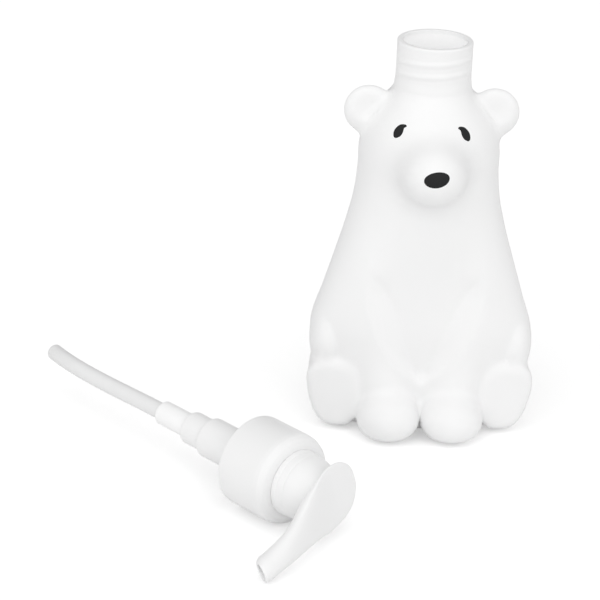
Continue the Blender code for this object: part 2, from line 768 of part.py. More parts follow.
def make_gasket(parts, parent, material):
    """Turns the flat sealing washer under the housing's flange."""
    top = housing_top() - HOUSING_FLANGE - TOUCH_GAP
    inner = HOUSING_RADIUS + TOUCH_GAP
    profile = [
        (inner, top),
        (flange_radius(), top),
        (flange_radius(), top - GASKET_THICKNESS),
        (inner, top - GASKET_THICKNESS),
    ]
    return turned("gasket", profile, SMALL_STEPS, parts, material, parent)


def cup_floor():
    """Gives the height of the floor that the spring stands on."""
    return -HOUSING_DEPTH - SPRING_CUP_LENGTH + CUP_FLOOR


def seat_bottom():
    """Gives the height of the ball seat's lower edge."""
    return cup_floor() - CUP_FLOOR - BALL_CHAMBER - SEAT_HEIGHT


def make_housing(parts, parent, material):
    """Turns the pump cylinder: flange, bore, spring cup, ball chamber and tube socket."""
    top = housing_top()
    bore = HOUSING_RADIUS - HOUSING_WALL
    cup = SPRING_CUP_RADIUS - HOUSING_WALL
    chamber = BALL_RADIUS + BALL_SIDE_CLEARANCE
    socket = TUBE_RADIUS + TOUCH_GAP
    floor = cup_floor()
    shelf = seat_bottom() - PORT_LENGTH
    foot = -HOUSING_DEPTH - SPRING_CUP_LENGTH
    end = foot - SOCKET_LENGTH
    profile = [
        (bore, top),
        (flange_radius(), top),
        (flange_radius(), top - HOUSING_FLANGE),
        (HOUSING_RADIUS, top - HOUSING_FLANGE),
        (HOUSING_RADIUS, -HOUSING_DEPTH + STEP_CHAMFER),
        (HOUSING_RADIUS - STEP_CHAMFER, -HOUSING_DEPTH),
        (SPRING_CUP_RADIUS, -HOUSING_DEPTH - STEP_CHAMFER),
        (SPRING_CUP_RADIUS, foot + STEP_CHAMFER),
        (SPRING_CUP_RADIUS - STEP_CHAMFER, foot),
        (SOCKET_RADIUS, foot - STEP_CHAMFER),
        (SOCKET_RADIUS, end + STEP_CHAMFER),
        (SOCKET_RADIUS - STEP_CHAMFER, end),
        (socket, end),
        (socket, shelf),
        (BALL_PORT_RADIUS, shelf),
        (BALL_PORT_RADIUS, seat_bottom()),
        (chamber, seat_bottom() + SEAT_HEIGHT),
        (chamber, floor - CUP_FLOOR),
        (BALL_LIP_RADIUS, floor - CUP_FLOOR / 2),
        (BALL_LIP_RADIUS, floor),
        (cup, floor),
        (cup, -HOUSING_DEPTH - STEP_CHAMFER),
        (bore, -HOUSING_DEPTH + HOUSING_RADIUS - SPRING_CUP_RADIUS),
    ]
    return turned("housing", profile, SMALL_STEPS, parts, material, parent)


def make_check_ball(parts, parent, material):
    """Sets the ball a hair above its conical seat."""
    slope = math.hypot(BALL_RADIUS + BALL_SIDE_CLEARANCE - BALL_PORT_RADIUS, SEAT_HEIGHT)
    across = SEAT_HEIGHT / slope
    down = (BALL_RADIUS + BALL_SIDE_CLEARANCE - BALL_PORT_RADIUS) / slope
    height = seat_bottom() + (BALL_RADIUS + BALL_SEAT_GAP - across * BALL_PORT_RADIUS) / down
    work = bmesh.new()
    bmesh.ops.create_uvsphere(work, u_segments=SMALL_STEPS // 2, v_segments=SMALL_STEPS // 4, radius=BALL_RADIUS)
    mesh = bpy.data.meshes.new("check_ball")
    work.to_mesh(mesh)
    work.free()
    ball = add_object("check_ball", mesh, parts, material, parent)
    ball.location = (0.0, 0.0, height)
    return ball


def piston_foot():
    """Gives the height of the piston's lower end, just above the plug's head."""
    return -HOUSING_DEPTH + PLUG_HEAD + TOUCH_GAP


def make_piston(parts, parent, material):
    """Turns the piston: two sealing lips, a waist, and a hub that the stem stands on."""
    outer = HOUSING_RADIUS - HOUSING_WALL - PISTON_CLEARANCE
    waist = outer - PISTON_WAIST
    inner = waist - PISTON_WAIST
    hub = STEM_BORE_RADIUS
    foot = piston_foot()
    top = foot + PISTON_LENGTH
    web = (foot + top - PISTON_WEB) / 2
    profile = [
        (inner, top),
        (outer, top),
        (outer, top - PISTON_LIP),
        (waist, top - 2 * PISTON_LIP),
        (waist, foot + 2 * PISTON_LIP),
        (outer, foot + PISTON_LIP),
        (outer, foot),
        (inner, foot),
        (inner, web),
        (hub, web),
        (hub, web + PISTON_WEB),
        (inner, web + PISTON_WEB),
    ]
    return turned("piston", profile, SMALL_STEPS, parts, material, parent)


def stem_foot():
    """Gives the height of the stem's lower end, on the piston's web."""
    return piston_foot() + (PISTON_LENGTH + PISTON_WEB) / 2 + TOUCH_GAP


def boss_foot():
    """Gives the height of the head's inner boss, just above the chaplet's collar."""
    return CLOSURE_HEIGHT + CHAPLET_COLLAR_RISE + TOUCH_GAP


def stem_top():
    """Gives the height of the stem's upper end, inside the head's boss."""
    return CLOSURE_HEIGHT + TOUCH_GAP + SKIRT_HEIGHT - SKIRT_WALL


def make_stem(parts, parent, material):
    """Turns the hollow stem."""
    profile = [
        (STEM_BORE_RADIUS, stem_top()),
        (STEM_RADIUS, stem_top()),
        (STEM_RADIUS, stem_foot()),
        (STEM_BORE_RADIUS, stem_foot()),
    ]
    return turned("stem", profile, SMALL_STEPS, parts, material, parent)


def make_stem_plug(parts, parent, material):
    """Turns the plug that hangs in the stem and closes the piston from below."""
    foot = -HOUSING_DEPTH
    shank = STEM_BORE_RADIUS - TOUCH_GAP
    profile = [
        (0.0, foot + PLUG_LENGTH),
        (shank - STEP_CHAMFER, foot + PLUG_LENGTH),
        (shank, foot + PLUG_LENGTH - STEP_CHAMFER),
        (shank, foot + PLUG_HEAD),
        (PLUG_HEAD_RADIUS - STEP_CHAMFER, foot + PLUG_HEAD),
        (PLUG_HEAD_RADIUS, foot + PLUG_HEAD - STEP_CHAMFER),
        (PLUG_HEAD_RADIUS, foot),
        (0.0, foot),
    ]
    return turned("stem_plug", profile, SMALL_STEPS, parts, material, parent, closed=False)


def make_spring(parts, parent, material):
    """Winds the return spring as one helix between the cup's floor and the plug's head."""
    clear = SPRING_WIRE_RADIUS + TOUCH_GAP
    low, high = cup_floor() + clear, -HOUSING_DEPTH - clear
    share = np.linspace(0.0, 1.0, SPRING_TURNS * SPRING_POINTS + 1)
    turn = share * math.tau * SPRING_TURNS
    height = low + share * (high - low)
    path = np.stack([SPRING_RADIUS * np.cos(turn), SPRING_RADIUS * np.sin(turn), height], axis=-1)
    between = np.linalg.norm(path[:, None] - path[None, :], axis=-1)
    apart = np.abs(np.arange(len(path))[:, None] - np.arange(len(path))[None, :]) > SPRING_POINTS // 2
    gap = between[apart].min() - 2 * SPRING_WIRE_RADIUS
    print(f"spring: least gap between turns {gap * 1000:.2f} mm")
    mesh = tube_mesh("spring", path, SPRING_WIRE_RADIUS, WIRE_SIDES, parts)
    return add_object("spring", mesh, parts, material, parent)


def tube_path():
    """Gives the dip tube's line: straight in the socket, then an even curl."""
    start = seat_bottom() - PORT_LENGTH - TOUCH_GAP
    mouth = -HOUSING_DEPTH - SPRING_CUP_LENGTH - SOCKET_LENGTH
    run = np.linspace(0.0, 1.0, TUBE_POINTS)
    side = TUBE_REACH * (math.tan(TUBE_LEAN) * run**2 + math.tan(TUBE_TURN) * run**3 / 2)
    path = [(0.0, 0.0, start), (0.0, 0.0, (start + mouth) / 2)]
    path += [(0.0, offset, mouth - TUBE_REACH * share) for offset, share in zip(side, run)]
    return path


def make_dip_tube(parts, cutters, parent, material):
    """Sweeps the dip tube and bores it from end to end."""
    path = tube_path()
    mesh = tube_mesh("dip_tube", path, TUBE_RADIUS, TUBE_SIDES, parts)
    tube = add_object("dip_tube", mesh, parts, material, parent)
    last, before = np.array(path[-1]), np.array(path[-2])
    beyond = last + OVERRUN * (last - before) / np.linalg.norm(last - before)
    bore_path = [(0.0, 0.0, path[0][2] + OVERRUN)] + path[1:] + [tuple(beyond)]
    mesh = tube_mesh("tube_bore", bore_path, TUBE_BORE_RADIUS, BORE_SIDES, cutters)
    bore = add_object("tube_bore", mesh, cutters, parent=parent)
    combine(tube, hide_cutter(bore), "DIFFERENCE")
    return tube


def head_section(place):
    """Gives one ring of the spoon-shaped head: flat on top over the pad, round at the nozzle."""
    x_share, width, top, under = place
    zero = CLOSURE_HEIGHT + TOUCH_GAP + PAD_TOP
    half_width = width * PAD_RADIUS
    high, low = zero + top * NOZZLE_RISE, zero + under * NOZZLE_RISE
    roundness = np.clip(x_share / NOZZLE_ROUND_SHARE, 0.0, 1.0)
    flat_power = PAD_TOP_POWER + (1.0 - PAD_TOP_POWER) * roundness
    middle_share = PAD_MIDDLE_SHARE + (NOZZLE_MIDDLE_SHARE - PAD_MIDDLE_SHARE) * roundness
    middle = low + (high - low) * middle_share
    turn = np.linspace(0.0, math.tau, HEAD_COLUMNS, endpoint=False)
    rise = np.sign(np.sin(turn)) * np.abs(np.sin(turn)) ** np.where(np.sin(turn) > 0, flat_power, 1.0)
    z = middle + np.where(rise > 0, (high - middle) * rise, (middle - low) * rise)
    y = half_width * np.cos(turn)
    return np.stack([np.full_like(turn, x_share * NOZZLE_REACH), y, z], axis=-1)


def make_actuator(parts, cutters, parent, material, roll):
    """Makes the pump head: turned skirt and boss, lofted pad and nozzle, bored channel."""
    foot = CLOSURE_HEIGHT + TOUCH_GAP
    rows = np.array([head_section(place) for place in HEAD_SHARES])
    mesh = grid_mesh("actuator", rows[:, ::-1], rows[0].mean(axis=0), rows[-1].mean(axis=0))
    head = add_object("actuator", mesh, parts, material, parent)
    head.rotation_euler = (0.0, 0.0, roll)
    inner = SKIRT_RADIUS - SKIRT_WALL
    socket = STEM_RADIUS + TOUCH_GAP
    roof = foot + SKIRT_HEIGHT
    profile = [(0.0, roof)]
    profile += [
        (r * SKIRT_RADIUS, foot + h * SKIRT_HEIGHT) for r, h in zip(SKIRT_RADIUS_SHARES, SKIRT_HEIGHT_SHARES)
    ]
    profile += [
        (SKIRT_RADIUS - CLOSURE_LIP, foot),
        (inner, foot),
        (inner, roof - SKIRT_ROOF),
        (BOSS_RADIUS, roof - SKIRT_ROOF),
        (BOSS_RADIUS, boss_foot()),
        (socket, boss_foot()),
        (socket, stem_top() + TOUCH_GAP),
        (0.0, stem_top() + TOUCH_GAP),
    ]
    skirt = hide_cutter(turned("skirt", profile, CLOSURE_STEPS, cutters, parent=head, closed=False))
    combine(head, skirt, "UNION")
    knee, tip = rows[CHANNEL_KNEE_ROW].mean(axis=0), rows[-1].mean(axis=0)
    along = (tip - knee) / np.linalg.norm(tip - knee)
    beyond = tip + OVERRUN * along
    cuts = (
        ("channel", [(0.0, 0.0, stem_top()), knee, beyond], NOZZLE_BORE_RADIUS),
        ("mouth", [tip - NOZZLE_MOUTH_DEPTH * along, beyond], NOZZLE_MOUTH_RADIUS),
    )
    for name, path, radius in cuts:
        mesh = tube_mesh(name, path, radius, TUBE_SIDES, cutters)
        cut = add_object(name, mesh, cutters, parent=head)
        combine(head, hide_cutter(cut), "DIFFERENCE")
    return head


def nozzle_roll():
    """Gives the turn of the head at which its tip meets the table beside the closure."""
    reach = math.hypot(NOZZLE_REACH, NOZZLE_TIP_HALF_WIDTH)
    lean = math.atan2(NOZZLE_TIP_HALF_WIDTH, NOZZLE_REACH)
    return -(lean + math.acos((CLOSURE_RADIUS - TOUCH_GAP) / reach))


def main():
    """Builds the bottle and the pump."""
    clear_scene()
    parts = new_collection("bear_shampoo_dispenser")
    cutters = new_collection("cutters")
    white = plastic("white_plastic", WHITE, SATIN)
    natural = plastic("natural_plastic", NATURAL, GLOSSY, NATURAL_ALPHA)
    ink = plastic("black_ink", BLACK, SATIN)
    foam = plastic("gasket_foam", FOAM, DULL)
    wire = steel("spring_wire", STEEL, GLOSSY)

    stand = bpy.data.objects.new("bottle_place", None)
    stand.location = (BOTTLE_X, BOTTLE_Y, 0.0)
    axis = bpy.data.objects.new("pump_axis", None)
    axis.location = (BOTTLE_X + PUMP_FROM_BOTTLE_X, BOTTLE_Y + PUMP_FROM_BOTTLE_Y, CLOSURE_RADIUS)
    axis.rotation_euler = (0.0, math.pi / 2, PUMP_HEADING)
    for empty in (stand, axis):
        parts.objects.link(empty)

    make_bottle(parts, cutters, stand, white)
    make_print("eye_print_left", eye_outline(-1), parts, stand, ink)
    make_print("eye_print_right", eye_outline(1), parts, stand, ink)
    make_print("nose_print", nose_outline(), parts, stand, ink)

    make_closure(parts, axis, white)
    make_chaplet(parts, axis, white)
    make_gasket(parts, axis, foam)
    make_housing(parts, axis, natural)
    make_check_ball(parts, axis, wire)
    make_piston(parts, axis, natural)
    make_stem(parts, axis, white)
    make_stem_plug(parts, axis, white)
    make_spring(parts, axis, wire)
    make_dip_tube(parts, cutters, axis, natural)
    make_actuator(parts, cutters, axis, white, nozzle_roll())
    bpy.context.view_layer.update()


if __name__ == "__main__":
    main()
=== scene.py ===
"""Dresses the bear-shaped shampoo bottle and the lotion pump that lies beside it."""

import math

import bpy
import numpy as np
from mathutils import Matrix, Vector


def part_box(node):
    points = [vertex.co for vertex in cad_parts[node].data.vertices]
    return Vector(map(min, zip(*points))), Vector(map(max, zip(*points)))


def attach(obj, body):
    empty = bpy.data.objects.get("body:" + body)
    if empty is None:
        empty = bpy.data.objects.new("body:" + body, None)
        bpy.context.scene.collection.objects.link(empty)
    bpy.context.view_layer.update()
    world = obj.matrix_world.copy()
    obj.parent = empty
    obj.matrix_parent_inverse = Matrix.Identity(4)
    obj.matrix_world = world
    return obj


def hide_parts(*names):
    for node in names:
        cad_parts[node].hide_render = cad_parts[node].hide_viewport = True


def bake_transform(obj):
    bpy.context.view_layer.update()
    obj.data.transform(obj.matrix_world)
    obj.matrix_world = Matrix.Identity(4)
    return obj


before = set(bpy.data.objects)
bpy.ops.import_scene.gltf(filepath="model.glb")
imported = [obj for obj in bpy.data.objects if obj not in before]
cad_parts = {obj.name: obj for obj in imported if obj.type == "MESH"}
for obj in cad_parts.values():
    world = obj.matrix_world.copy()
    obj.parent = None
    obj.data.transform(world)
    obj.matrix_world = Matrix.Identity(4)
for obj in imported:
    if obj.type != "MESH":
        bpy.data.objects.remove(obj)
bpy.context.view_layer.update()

bl_info = {
    "name": "Bear shampoo bottle with lotion pump",
    "version": (1, 0, 0),
    "blender": (4, 5, 0),
    "location": "3D View > Sidebar > Bear bottle",
    "description": "Dresses a bear-shaped shampoo bottle and the lotion pump that lies beside it",
    "category": "Add Mesh",
}

# Where the bottle stands, and the pump's own axes: from the dip tube to the head is its third
BOTTLE_PLACE = np.array((0.0482, 0.0532, 0.0))
PUMP_PLACE = BOTTLE_PLACE + (-0.0607, -0.0788, 0.0160)
PUMP_HEADING = math.radians(-47.8)
PUMP_AXES = np.array((
    (0.0, 0.0, -1.0),
    (-math.sin(PUMP_HEADING), math.cos(PUMP_HEADING), 0.0),
    (math.cos(PUMP_HEADING), math.sin(PUMP_HEADING), 0.0),
))
TO_FLOOR = np.array((0.0, 0.0, -1.0))
TO_FRONT = np.array((0.0, -1.0, 0.0))

# Height, half width, place of the widest line, and depth in front of it and behind it,
# as shares of the body's three sizes
BODY_SHARES = (
    (0.000, 0.800, -0.20, 0.50, 1.00),
    (0.064, 0.870, -0.22, 0.53, 1.12),
    (0.145, 0.925, -0.25, 0.56, 1.20),
    (0.225, 0.980, -0.28, 0.58, 1.27),
    (0.297, 0.995, -0.30, 0.60, 1.31),
    (0.402, 0.900, -0.28, 0.62, 1.27),
    (0.498, 0.808, -0.22, 0.65, 1.16),
    (0.594, 0.718, -0.14, 0.69, 1.03),
    (0.683, 0.652, -0.06, 0.73, 0.91),
    (0.763, 0.625, -0.01, 0.77, 0.85),
    (0.835, 0.620, 0.00, 0.79, 0.83),
    (0.892, 0.583, 0.00, 0.76, 0.79),
    (0.940, 0.504, 0.00, 0.665, 0.68),
    (0.980, 0.395, 0.00, 0.53, 0.53),
    (1.012, 0.272, 0.00, 0.367, 0.367),
)
SECTION_POWER = 2.15
BASE_ROUNDING = 0.0030
PUSH_UP = (0.0210, 0.0145, 0.0015)
NECK_FOOT_SHARE = 0.9

# Places are shares of the half width, the half depth and the height
MUZZLE_PLACE_SHARES = (0.0, -0.917, 0.819)
MUZZLE_RADII = (0.0113, 0.0116, 0.0108)
PAW_PLACE_SHARES = (0.284, -0.917, 0.064)
PAW_RADII = (0.0114, 0.0102, 0.0088)
SHOULDER_PLACE_SHARES = (0.500, -0.430, 0.520)
SHOULDER_RADIUS = 0.0055
WRIST_PLACE_SHARES = (0.309, -0.600, 0.112)
WRIST_RADIUS = 0.0100
HIND_PLACE_SHARES = (0.775, -0.740, 0.112)
HIND_HALF_WIDTH = 0.0096
HIND_HALF_HEIGHT = 0.0132
HIND_LENGTH = 0.0260
HIND_POWER = 2.6
HIND_SPREAD = math.tan(math.radians(7.0))
HIND_TURN_OUT = math.tan(math.radians(8.0))
HIND_SLANT = 0.10
HIND_TAPER = 0.14
HIND_EDGE = 0.0026
HAUNCH_PLACE_SHARES = (0.835, -0.417, 0.260)
HAUNCH_RADII = (0.0066, 0.0090, 0.0118)
EAR_PLACE_SHARES = (0.551, -0.067, 0.940)

# Radii of the fillets between the forms, and how far the skin takes in an ear's foot
MUZZLE_BLEND = 0.0095
PAW_BLEND = 0.0040
ARM_BLEND = 0.0030
HIND_BLEND = 0.0020
HAUNCH_BLEND = 0.0009
NECK_BLEND = 0.0050
EAR_BLEND = 0.0036
EAR_COLLAR = 0.0012

# Sunk belly panel: its foot and top, as shares of the height, its half width at the top, the power
# of its outline, the straight V inside it, as a share of the width that rises as the height and a
# power for the rest, and the share of its height over which its foot sinks
PANEL_SHARES = (0.157, 0.508)
PANEL_HALF_WIDTH = 0.0219
PANEL_POWER = 2.8
PANEL_V_SHARE = 0.72
PANEL_V_POWER = 8.0
PANEL_FOOT_RUN = 0.10
# The chest starts to sink above the panel: where it starts, as a share of the height, over what
# height it sinks, the share of the width that its sides take, and the height below the panel's
# top over which they end
CHEST_SHARE = 0.680
CHEST_FADE = 0.0400
CHEST_SIDE_SHARE = 0.55
LEVEL_FADE = 0.0100

# Dish in an ear's front: its place from the ear's middle, its radii and the fillet of its edge
DISH_PLACE = (0.0007, -0.0040, 0.0026)
DISH_RADII = (0.0054, 0.0017, 0.0054)
DISH_BLEND = 0.0016
# How an ear is sampled, how far it reaches, and how deep it ends in the wall and at its collar
EAR_ROWS = 120
EAR_COLUMNS = 160
EAR_REACH = 0.0125
EAR_ROOT_DEPTH = 0.0006
EAR_SINK = 0.0001

# How the bear's skin is sampled: coarse first, then doubled twice
BASE_RING_SHARE = 1.15
BASE_SHARES = (0.0, 0.12, 0.25, 0.40, 0.55, 0.68, 0.78, 0.85, 0.91, 0.96)
LOW_CENTRE_SHARE = 0.075
SIDE_SHARES = (0.200, 0.560)
HIGH_CENTRE_SHARE = 0.805
LOW_ANGLES = (-19.0, 25.0)
HEAD_ANGLES = (-42.0, 62.0)
LOW_ROWS, SIDE_ROWS, HEAD_ROWS = 9, 12, 19
COARSE_COLUMNS = 72
FACE_CROWDING = 0.28
EVEN_ROUNDS = (14, 10, 6)
SKIN_REACH = 0.060
SKIN_STEPS = 120
SKIN_HALVINGS = 18
SLOPE_STEP = 0.00005

# Neck finish: rows, rim, and one thread that rises to the right and fades at both its ends and
# where the halves of the mould meet
NECK_ROWS = 64
BORE_ROWS = 10
RIM_STEPS = 7
OUTER_RIM_ROUNDING = 0.0007
INNER_RIM_ROUNDING = 0.0004
NECK_SETTLE = 0.0040
NECK_LIP = 0.00005
NECK_LIP_HEIGHT = 0.0026
THREAD_FRONT_HEIGHT = 0.0083
THREAD_START_TURN = math.radians(-115.0)
THREAD_TURNS = 1.70
THREAD_LAPS = (-1, 0, 1, 2)
THREAD_HALF_WIDTH = 0.0016
THREAD_FADE = math.radians(28.0)
THREAD_GAP = 0.10
THREAD_GAP_FADE = 0.30

# Printed eye: outline as shares of its length, to the brow and up, from its lower end
EYE_SHARES = (
    (-0.20, -0.425), (-0.08, -0.375), (0.06, -0.285), (0.17, -0.155), (0.245, -0.010), (0.290, 0.140),
    (0.340, 0.245), (0.430, 0.285), (0.465, 0.345), (0.400, 0.395), (0.230, 0.390), (0.080, 0.345),
    (-0.045, 0.255), (-0.155, 0.145), (-0.245, 0.020), (-0.300, -0.110), (-0.320, -0.240), (-0.300, -0.370),
)
PRINT_RINGS = 12
PRINT_POINTS = 120
PRINT_BURIED = 0.00012
PRINT_EDGE_SHARE = 0.97

# Heights in the pump are metres along its axis from the closure's rim
TOUCH_GAP = 0.0003
FLANGE_RADIUS = 0.0136
CLOSURE_HOLE = 0.0086
CEILING = 0.0200
CLOSURE_THREAD_FRONT = 0.0070
CHAPLET_FOOT = 0.0106
CHAPLET_FLANGE_FOOT = 0.0181
GASKET_TOP = 0.0161
GASKET_FOOT = 0.0149
HOUSING_TOP = 0.0178
HOUSING_FLANGE_FOOT = 0.0164
STEP_TOP = -0.0206
STEP_HEIGHT = -0.0216
STEP_BORE_FOOT = -0.0222
CUP_FLOOR = -0.0304
BALL_STOP = -0.0310
CUP_FOOT = -0.0316
SEAT_TOP = -0.0352
SEAT_BOTTOM = -0.0366
SHELF = -0.0382
SOCKET_FOOT = -0.0469
PISTON_TOP = -0.0111
PISTON_FOOT = -0.0199
STEM_TOP = 0.0346
STEM_FOOT = -0.0143
PLUG_HEAD_TOP = -0.0202
PLUG_TOP = -0.0046
HEAD_FOOT = 0.02164
BOSS_FOOT = 0.0279
PAD_HEIGHT = 0.0380

# Widths inside the pump: the holes above and below the ball, the room round it, and the piston's
# play in the cylinder, its waist, its wall, its web, its lips and where its waist begins
UPPER_PORT = 0.00175
LOWER_PORT = 0.0015
BALL_ROOM = 0.0005
PISTON_PLAY = 0.00015
PISTON_WAIST = 0.0006
PISTON_WALL = 0.0012
PISTON_WEB = 0.0018
PISTON_LIP = 0.0010
PISTON_LIP_RUN = 0.0020
TUBE_LIP = 0.00012

# Along the head, from its round back to the tip: place, half width, top and underside.
# Places are shares of the reach, widths of the pad's radius, heights of the nozzle's rise.
HEAD_SHARES = (
    (-0.350, 0.000, -0.230, -0.230),
    (-0.345, 0.180, -0.130, -0.320),
    (-0.325, 0.440, -0.090, -0.360),
    (-0.280, 0.680, -0.050, -0.370),
    (-0.215, 0.870, -0.020, -0.350),
    (-0.140, 0.975, 0.000, -0.320),
    (-0.055, 1.010, 0.030, -0.280),
    (0.040, 0.985, 0.120, -0.240),
    (0.130, 0.910, 0.240, -0.220),
    (0.220, 0.815, 0.370, -0.280),
    (0.310, 0.715, 0.510, -0.260),
    (0.400, 0.625, 0.640, -0.130),
    (0.500, 0.545, 0.770, 0.030),
    (0.600, 0.480, 0.880, 0.120),
    (0.720, 0.420, 0.980, 0.160),
    (0.860, 0.365, 1.050, 0.150),
    (1.002, 0.335, 1.060, 0.155),
    (1.027, 0.318, 1.045, 0.190),
    (1.037, 0.292, 1.005, 0.240),
)
HEAD_ROWS_ALONG = 170
HEAD_COLUMNS = 120
NOZZLE_RISE = 0.0090
NOZZLE_ROUND_SHARE = 0.800
PAD_TOP_POWER = 0.45
PAD_MIDDLE_SHARE = 0.72
NOZZLE_MIDDLE_SHARE = 0.50
NOZZLE_TIP_HALF_WIDTH = 0.0036
TIP_SLANT = 0.35
TIP_SLANT_PLACE = 0.90
# Inside the nozzle's mouth: depth from the tip and radius, and how it falls for its depth
MOUTH_PROFILE = ((0.0001, 0.0026), (0.0004, 0.0025), (0.0045, 0.0024), (0.0048, 0.0015), (0.0160, 0.0014))
MOUTH_FALL = 0.17
# Outside of the skirt: height and radius shares
SKIRT_SHARES = ((0.0, 0.994), (0.030, 1.0), (0.23, 0.98), (0.47, 0.93), (0.70, 0.82), (1.0, 0.60))
SKIRT_WALL = 0.0018
SKIRT_RIM = 0.0009
SKIRT_ROOF = 0.0043
BOSS_RADIUS = 0.0052
# Two shallow grooves round the skirt's foot: their heights above it, depth and half width
SKIRT_GROOVES = (0.0020, 0.0047)
GROOVE_DEPTH = 0.00016
GROOVE_HALF_WIDTH = 0.00045

# How the pump's pieces are drawn
TURNED_COLUMNS = 144
OUTLINE_STEP = 0.0004
CORNER_STEPS = 6
CORNER_HOLD_SHARE = 0.35
SAME_POINT = 1e-7
BALL_ROWS, BALL_COLUMNS = 33, 64
SPRING_STEPS_ROUND, WIRE_COLUMNS = 48, 14
SPRING_CLOSING = 0.5
TUBE_ROWS, TUBE_SOCKET_ROWS, TUBE_COLUMNS = 90, 12, 72
SKIRT_ROWS = 120

# Painted light on the inner skin, a glow that stands in for light coming through the blown wall: the attribute
# that marks the inner skin, the share that glows deep inside, and the height from which it grows and over which it
# does
INNER_SKIN = "inner_skin"
DEEP_GLOW_SHARE = 0.22
GLOW_START = 0.095
GLOW_RUN = 0.035
# The mould's parting line: how far it lies in front of the bottle's middle, and its half width
PARTING_SHIFT = 0.002
PARTING_HALF_WIDTH = 0.00022
# The clear plastics pass from one colour to another below a height, at a rate for each metre
SOCKET_RATE = 900.0
TUBE_END_START = SOCKET_FOOT - 0.045
TUBE_END_RATE = 60.0

# Camera, from a fit of the bottle's sizes to the view, floor and lamps: name, place, aim and size
CAMERA_FROM_BOTTLE = (-0.07126, -0.80260, 0.38507)
CAMERA_PITCH = math.radians(23.14)
CAMERA_ROLL = math.radians(-2.23)
CAMERA_TURN = math.radians(1.94)
CAMERA_LENS = 142.6
SENSOR = 36.0
FLOOR_REACH = 3.0
FLOOR_HEIGHT = -0.0001
LAMPS = (
    ("key", (-0.25, -0.35, 1.30), (0.0, 0.0, 0.05), 0.9),
    ("fill", (-0.9, -0.7, 0.6), (0.0, 0.0, 0.06), 0.8),
)


def number(name, description, default, subtype="NONE"):
    """Makes a plain number, or one of a subtype."""
    return bpy.props.FloatProperty(name=name, description=description, default=default, subtype=subtype)


def length(name, description, default):
    """Makes a length in metres."""
    return bpy.props.FloatProperty(name=name, description=description, default=default, unit="LENGTH")


def angle(name, description, degrees):
    """Makes an angle."""
    return number(name, description, math.radians(degrees), "ANGLE")


def watts(name, description, default):
    """Makes a lamp's power."""
    return bpy.props.FloatProperty(name=name, description=description, default=default, unit="POWER")


def paint(name, description, *default):
    """Makes a colour."""
    return bpy.props.FloatVectorProperty(
        name=name, description=description, default=default, subtype="COLOR")


class BearSizes(bpy.types.PropertyGroup):
    """Sizes of the bear bottle"""

    half_width: length("Half width", "Half of the body's width", 0.0405)
    half_depth: length("Half depth", "Unit of the body's depth", 0.0300)
    shoulder: length("Shoulder", "Height of the neck's root", 0.1245)
    wall: length("Wall", "Thickness of the blown wall", 0.0012)
    panel_depth: length("Panel depth", "How far the belly panel is sunk", 0.0036)
    ear_radius: length("Ear radius", "Radius of an ear", 0.0089)
    ear_half_thickness: length("Ear thickness", "Half of an ear's thickness", 0.0038)
    neck_radius: length("Neck radius", "Radius at the thread's root", 0.0134)
    neck_bore: length("Neck bore", "Radius of the neck's bore", 0.0114)
    neck_height: length("Neck height", "Height of the neck above the shoulder", 0.0183)
    thread_height: length("Thread height", "Height of the thread's ridge", 0.00038)
    thread_pitch: length("Thread pitch", "Rise of the thread in one turn", 0.0044)


class PrintSizes(bpy.types.PropertyGroup):
    """Places and sizes of the printed face"""

    eye_length: length("Eye length", "Length of an eye with its lash", 0.0057)
    eye_side: length("Eye side", "Distance of an eye from the middle", 0.0116)
    eye_shift: length("Eye shift", "How far both eyes lie to the right", -0.0009)
    eye_height: length("Eye height", "Height of the eyes", 0.1147)
    nose_height: length("Nose height", "Height of the nose", 0.1042)
    nose_half_width: length("Nose half width", "Half of the nose's width", 0.0044)
    nose_half_height: length("Nose half height", "Half of the nose's height", 0.00267)
    nose_lean: number("Nose lean", "How far the nose's top leans to the right, for its height", 0.16)
    nose_tilt: angle("Nose tilt", "Turn of the nose", 5.0)
    lift: length("Ink lift", "How far the ink stands proud", 0.00006)


